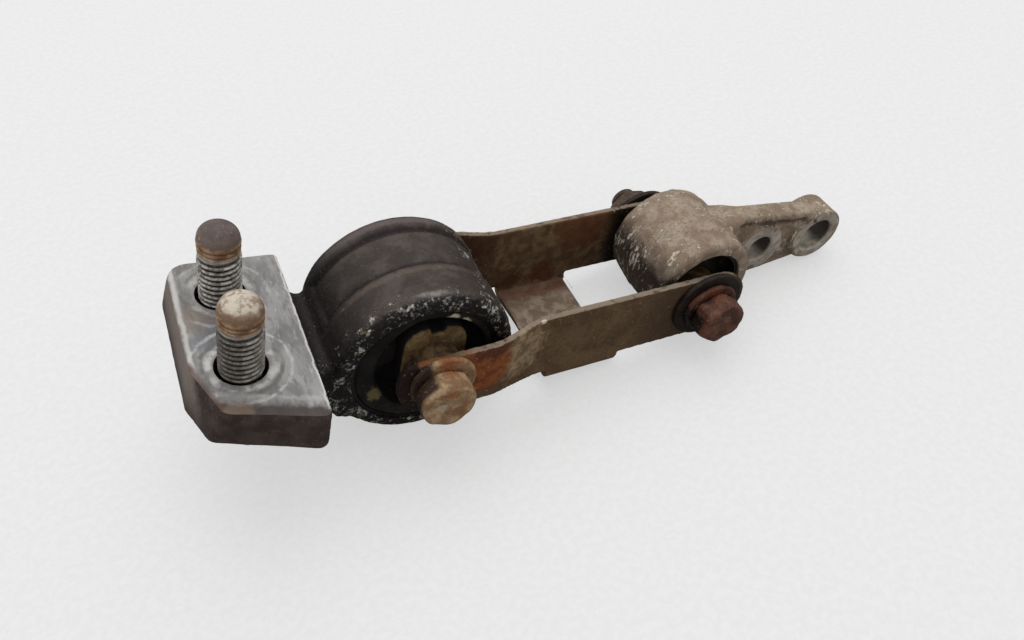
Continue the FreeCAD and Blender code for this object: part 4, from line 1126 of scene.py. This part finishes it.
def arm_height(points):
    """Swells and grit of a rough mould, scars on the barrel, and the arm's front sunk under a
    torn ledge along its upper edge except at the two machined faces."""
    x, y, z = unplaced(points, ARM_CENTRE, ARM_TILT).T
    on_eye = held((20 - x) / 4)
    scars = held(lumps(points, 2.4, 51) - 0.58) * 0.7 * on_eye
    off_faces = 1.0
    for at, _, radius in (NEAR_HOLE, FAR_HOLE):
        off_faces = off_faces * held(np.hypot(x - at, z) - radius)
    ledge = held(15.2 + 1.6 * lumps(points, 3, 54) - z - 0.1405 * x)
    sunk = ledge * off_faces * held((-ARM_HALF + 1 - y) / 0.8) * held((x - 17) / 3)
    return (0.3 * (lumps(points, 6, 52) - 0.6) + 0.2 * (lumps(points, 1.8, 53) - 0.5) + scars
            - sunk * (0.8 + 0.7 * lumps(points, 2.2, 55)))


raise_skin(bracket, arm_height)
for along, bore, radius in (NEAR_HOLE, FAR_HOLE):
    front = -ARM_HALF - FACE_RISE
    face = [(0, front - 6), (radius + 1.2, front - 6), (radius - 0.2, front), (0, front)]
    hole = [(0, -20), (bore + 8, -20), (bore + 0.6, front - 0.05), (bore, front + 0.6), (bore, 20), (0, 20)]
    for line, steps in ((face, 96), (hole, 72)):
        tool = turned(np.array(line, float), steps) + np.array([along, 0, 0])
        cut(bracket, new_piece("cutter", [placed(tool, ARM_CENTRE, ARM_TILT)]))
cut(bracket, drill(EYE_BORE, -40, 40, ARM_CENTRE, ARM_TILT, steps=120))
smooth(bracket, 34)


def rough_casting():
    """Tan-grey cast skin with pale scars that are partly painted glints, yellow-green tints, painted
    shade down the barrel's left and lower side and over its lower half, a painted shadow line
    under the torn ledge along the arm, and dirt mixed with painted shade on the arm's front."""
    finish, shader = new_finish("rough_casting", specular=0.3)
    place = millimetres(finish, ARM_CENTRE, ARM_TILT)
    axis = add("SeparateXYZ", {"Vector": place}).outputs
    tone = mottled(place, 6, seen(138, 118, 99), seen(174, 156, 136), 5)
    tone = over(fade(grain(place, 7, 3), 0.55, 0.7), tone, seen(136, 124, 88), 0.35)
    tone = over(fade(grain(place, 1.5, 5), 0.5, 0.7), tone, seen(108, 89, 72), 0.55)
    # Painted shade: the barrel's left and lower side made near black.
    shaded_flank = both(fade(uneven(place, axis["Z"], 4, 9), 14, 4), fade(axis["X"], 4, -9))
    tone = over(shaded_flank, tone, seen(30, 22, 17), 0.95)
    # Painted shade: the lower half of the barrel and the arm's root darkened.
    shaded_lower_barrel = both(fade(uneven(place, axis["Z"], 4, 6), 6, -6), fade(axis["X"], 22, 18))
    tone = over(shaded_lower_barrel, tone, seen(92, 76, 62), 0.6)
    forward = both(axis["Y"], -1.0)
    on_front = both(fade(forward, 2.6, 4.0), fade(axis["X"], 17, 20))
    climb = math("ADD", uneven(place, axis["Z"], 2.5, 2.4), both(axis["X"], 0.1405))
    # Painted shadow: a dark line under the torn ledge along the top of the arm's front.
    torn = both(band(climb, 15.0, 1.7), on_front)
    tone = over(torn, tone, seen(50, 38, 30), 0.85)
    # Dirt with painted shade, in patches over the arm's front face.
    front_dirt_and_shade = both(fade(grain(place, 3, 5), 0.42, 0.6), on_front)
    tone = over(front_dirt_and_shade, tone, seen(96, 80, 65), 0.6)
    strokes = add("VectorMath", {0: place, 1: (1.0, 1.6, 0.6)}, operation="MULTIPLY").outputs["Vector"]
    # Pale scars in strokes, partly painted glints where light catches the barrel.
    grit = fade(uneven(place, grain(strokes, 1.8, 6, 0.3, 0.7), 7, 0.5), 0.54, 0.65)
    tone = over(grit, tone, seen(218, 206, 188), 0.8)
    pepper = fade(grain(place, 0.7, 4), 0.56, 0.7)
    tone = over(pepper, tone, seen(96, 78, 62), 0.4)
    colour(shader, tone)
    rough(shader, grain(place, 2, 4), 0.4, 0.8)
    relief(shader, [(grain(place, 0.8, 5), 0.24), (grain(place, 2.4, 4), 0.3), (grit, 0.2)])
    return finish


def bored_face():
    """The two machined faces: dull grey metal with brown stains; the holes in them are painted
    dark as shade except low down on the left."""
    finish, shader = new_finish("bored_face", metallic=0.1, specular=0.4)
    place = millimetres(finish, ARM_CENTRE, ARM_TILT)
    axis = add("SeparateXYZ", {"Vector": place}).outputs
    tone = mottled(place, 4, seen(148, 139, 126), seen(190, 181, 168), 5)
    tone = over(fade(grain(place, 1.6, 5), 0.54, 0.7), tone, seen(122, 102, 82), 0.6)
    inside = fade(axis["Y"], -ARM_HALF - 1.1, -ARM_HALF + 0.4)
    for along, bore, _ in (NEAR_HOLE, FAR_HOLE):
        beside = math("SUBTRACT", axis["X"], along)
        climb = math("ADD", both(beside, 0.6), both(axis["Z"], 0.8))
        here = both(inside, fade(math("ABSOLUTE", beside), bore + 2, bore + 1))
        # Painted shade inside each hole, over its upper right side.
        hole_shade = both(here, fade(uneven(place, climb, 3, 3), -3.5, 0.5))
        tone = over(hole_shade, tone, seen(34, 26, 22), 0.92)
    colour(shader, tone)
    rough(shader, grain(place, 2, 4), 0.4, 0.7)
    relief(shader, [(grain(place, 1.0, 4), 0.08)])
    return finish


def arm_choice(middles):
    """The bored finish is on the two flat faces, their holes and the barrel's bore."""
    x, y, z = unplaced(middles, ARM_CENTRE, ARM_TILT).T
    in_holes = (np.hypot(x - NEAR_HOLE[0], z) < NEAR_HOLE[1]
                + 0.7) | (np.hypot(x - FAR_HOLE[0], z) < FAR_HOLE[1] + 0.7)
    flat = (abs(y + ARM_HALF + FACE_RISE) < 0.03) & (x > 18)
    return in_holes | flat


paint_faces(bracket, [rough_casting(), bored_face()], arm_choice)
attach(bracket, "arm")
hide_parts("arm_bracket")


# ---------------------------------------------------------------------------------------------
# The small bush: a ring of rubber moulded between its sleeve and the spacer tube, which sits
# low and to one side of it; both its faces are dished.

SMALL_SLEEVE_BORE, SMALL_SPACER, SMALL_HALF = 12.7, 7.67, 11.95
rubber_outer = circle(SMALL_SLEEVE_BORE)
rubber_inner = circle(SMALL_SPACER) + np.array([-1.4, -2.6])
small_reach = [0, 0.08, 0.25, 0.5, 0.75, 0.92, 1, 1, 0.92, 0.75, 0.5, 0.25, 0.08, 0, 0]
bulge = [SMALL_HALF - 0.2, SMALL_HALF, SMALL_HALF - 0.7, SMALL_HALF - 1.5, SMALL_HALF - 0.9, SMALL_HALF
         - 0.1, SMALL_HALF - 0.3]
small_rows = [-part for part in bulge] + bulge[::-1] + [-bulge[0]]
small_grid = stacked(rubber_outer, small_reach, small_rows, inner=rubber_inner)[..., [0, 2, 1]]
small_rubber = new_piece("small_bush_ring", [placed(small_grid, ARM_CENTRE, ARM_TILT)])
dress(small_rubber, rubber.data.materials[0])
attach(small_rubber, "arm")
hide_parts("small_bush_rubber")


# ---------------------------------------------------------------------------------------------
# The small cross bolt holds the bush between the link's plates: a rusty flanged head on a thick
# washer at the front, and a washer and nut behind with the bolt's end standing out.

SMALL_BOLT, SMALL_PITCH, SMALL_END = 5.0, 1.5, 35.8
SMALL_WASHER = (12.9, 5.3, 2.0, 0.5)
SMALL_NUT, SMALL_NUT_HEIGHT = 14.2, 8.0
SMALL_SEAT = LINK_OUTER + SMALL_WASHER[2]
small_head = lathe_head(hexagon(15.8, 16, twist=radians(-6)), SMALL_SEAT + 1.8, 7.8, 1.8)
small_bolt = new_piece("cross_bolt_small", [placed(grid, FAR_CENTRE, LINK_TILT) for grid in (
    small_head, collar(9.8, SMALL_SEAT, COLLAR_THICK, 0.8), shank(SMALL_BOLT, -SMALL_SEAT, SMALL_SEAT + 2),
    threaded(SMALL_BOLT, SMALL_PITCH, SMALL_SEAT, SMALL_END))], 50)
divided(small_bolt, 1)
raise_skin(small_bolt, head_height(3.2, 0.9, 61, -LINK_OUTER))
small_front = -SMALL_SEAT - 9.6
small_head_steel = head_steel(
    "small_head_steel", FAR_CENTRE, LINK_TILT, seen(110, 72, 54), seen(70, 40, 31), seen(102, 56, 34),
    # painted shade on the left flats: front, tone, left edge, low edge
    (small_front, seen(17, 12, 10), -4.2, 1.5),
    [((1.0, small_front, 2.0), 1.8, seen(124, 88, 76)),
     ((-1.0, small_front + 6.5, 9.0), 3.5, seen(104, 60, 40))])
paint_faces(small_bolt, [small_head_steel, rusty_fastener], lambda middles: middles[:, 1] > 0)
smooth(small_bolt, 50)
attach(small_bolt, "link")
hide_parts("small_cross_bolt")

small_washers = []
for name, seat in (("front", -SMALL_SEAT), ("rear", LINK_OUTER)):
    grid = turned(washer_rows(*SMALL_WASHER) + np.array([0, seat]), 96)
    small_washers.append(new_piece("washer_small_" + name, [placed(grid, FAR_CENTRE, LINK_TILT)]))
small_nut = new_piece("nut_small", [placed(nut_grid(SMALL_NUT, SMALL_BOLT, SMALL_SEAT, SMALL_SEAT
                                                    + SMALL_NUT_HEIGHT), FAR_CENTRE, LINK_TILT)])
dark_washer = dull_steel("dark_washer", seen(46, 34, 28), seen(26, 19, 16), seen(54, 34, 26), 0.04)
for piece, node_name, finish in ((small_washers[0], "small_bolt_washer_front", dark_washer),
                                 (small_washers[1], "small_bolt_washer_rear", dark_washer),
                                 (small_nut, "small_bolt_nut", rusty_fastener)):
    dress(piece, finish)
    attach(piece, "link")
    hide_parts(node_name)
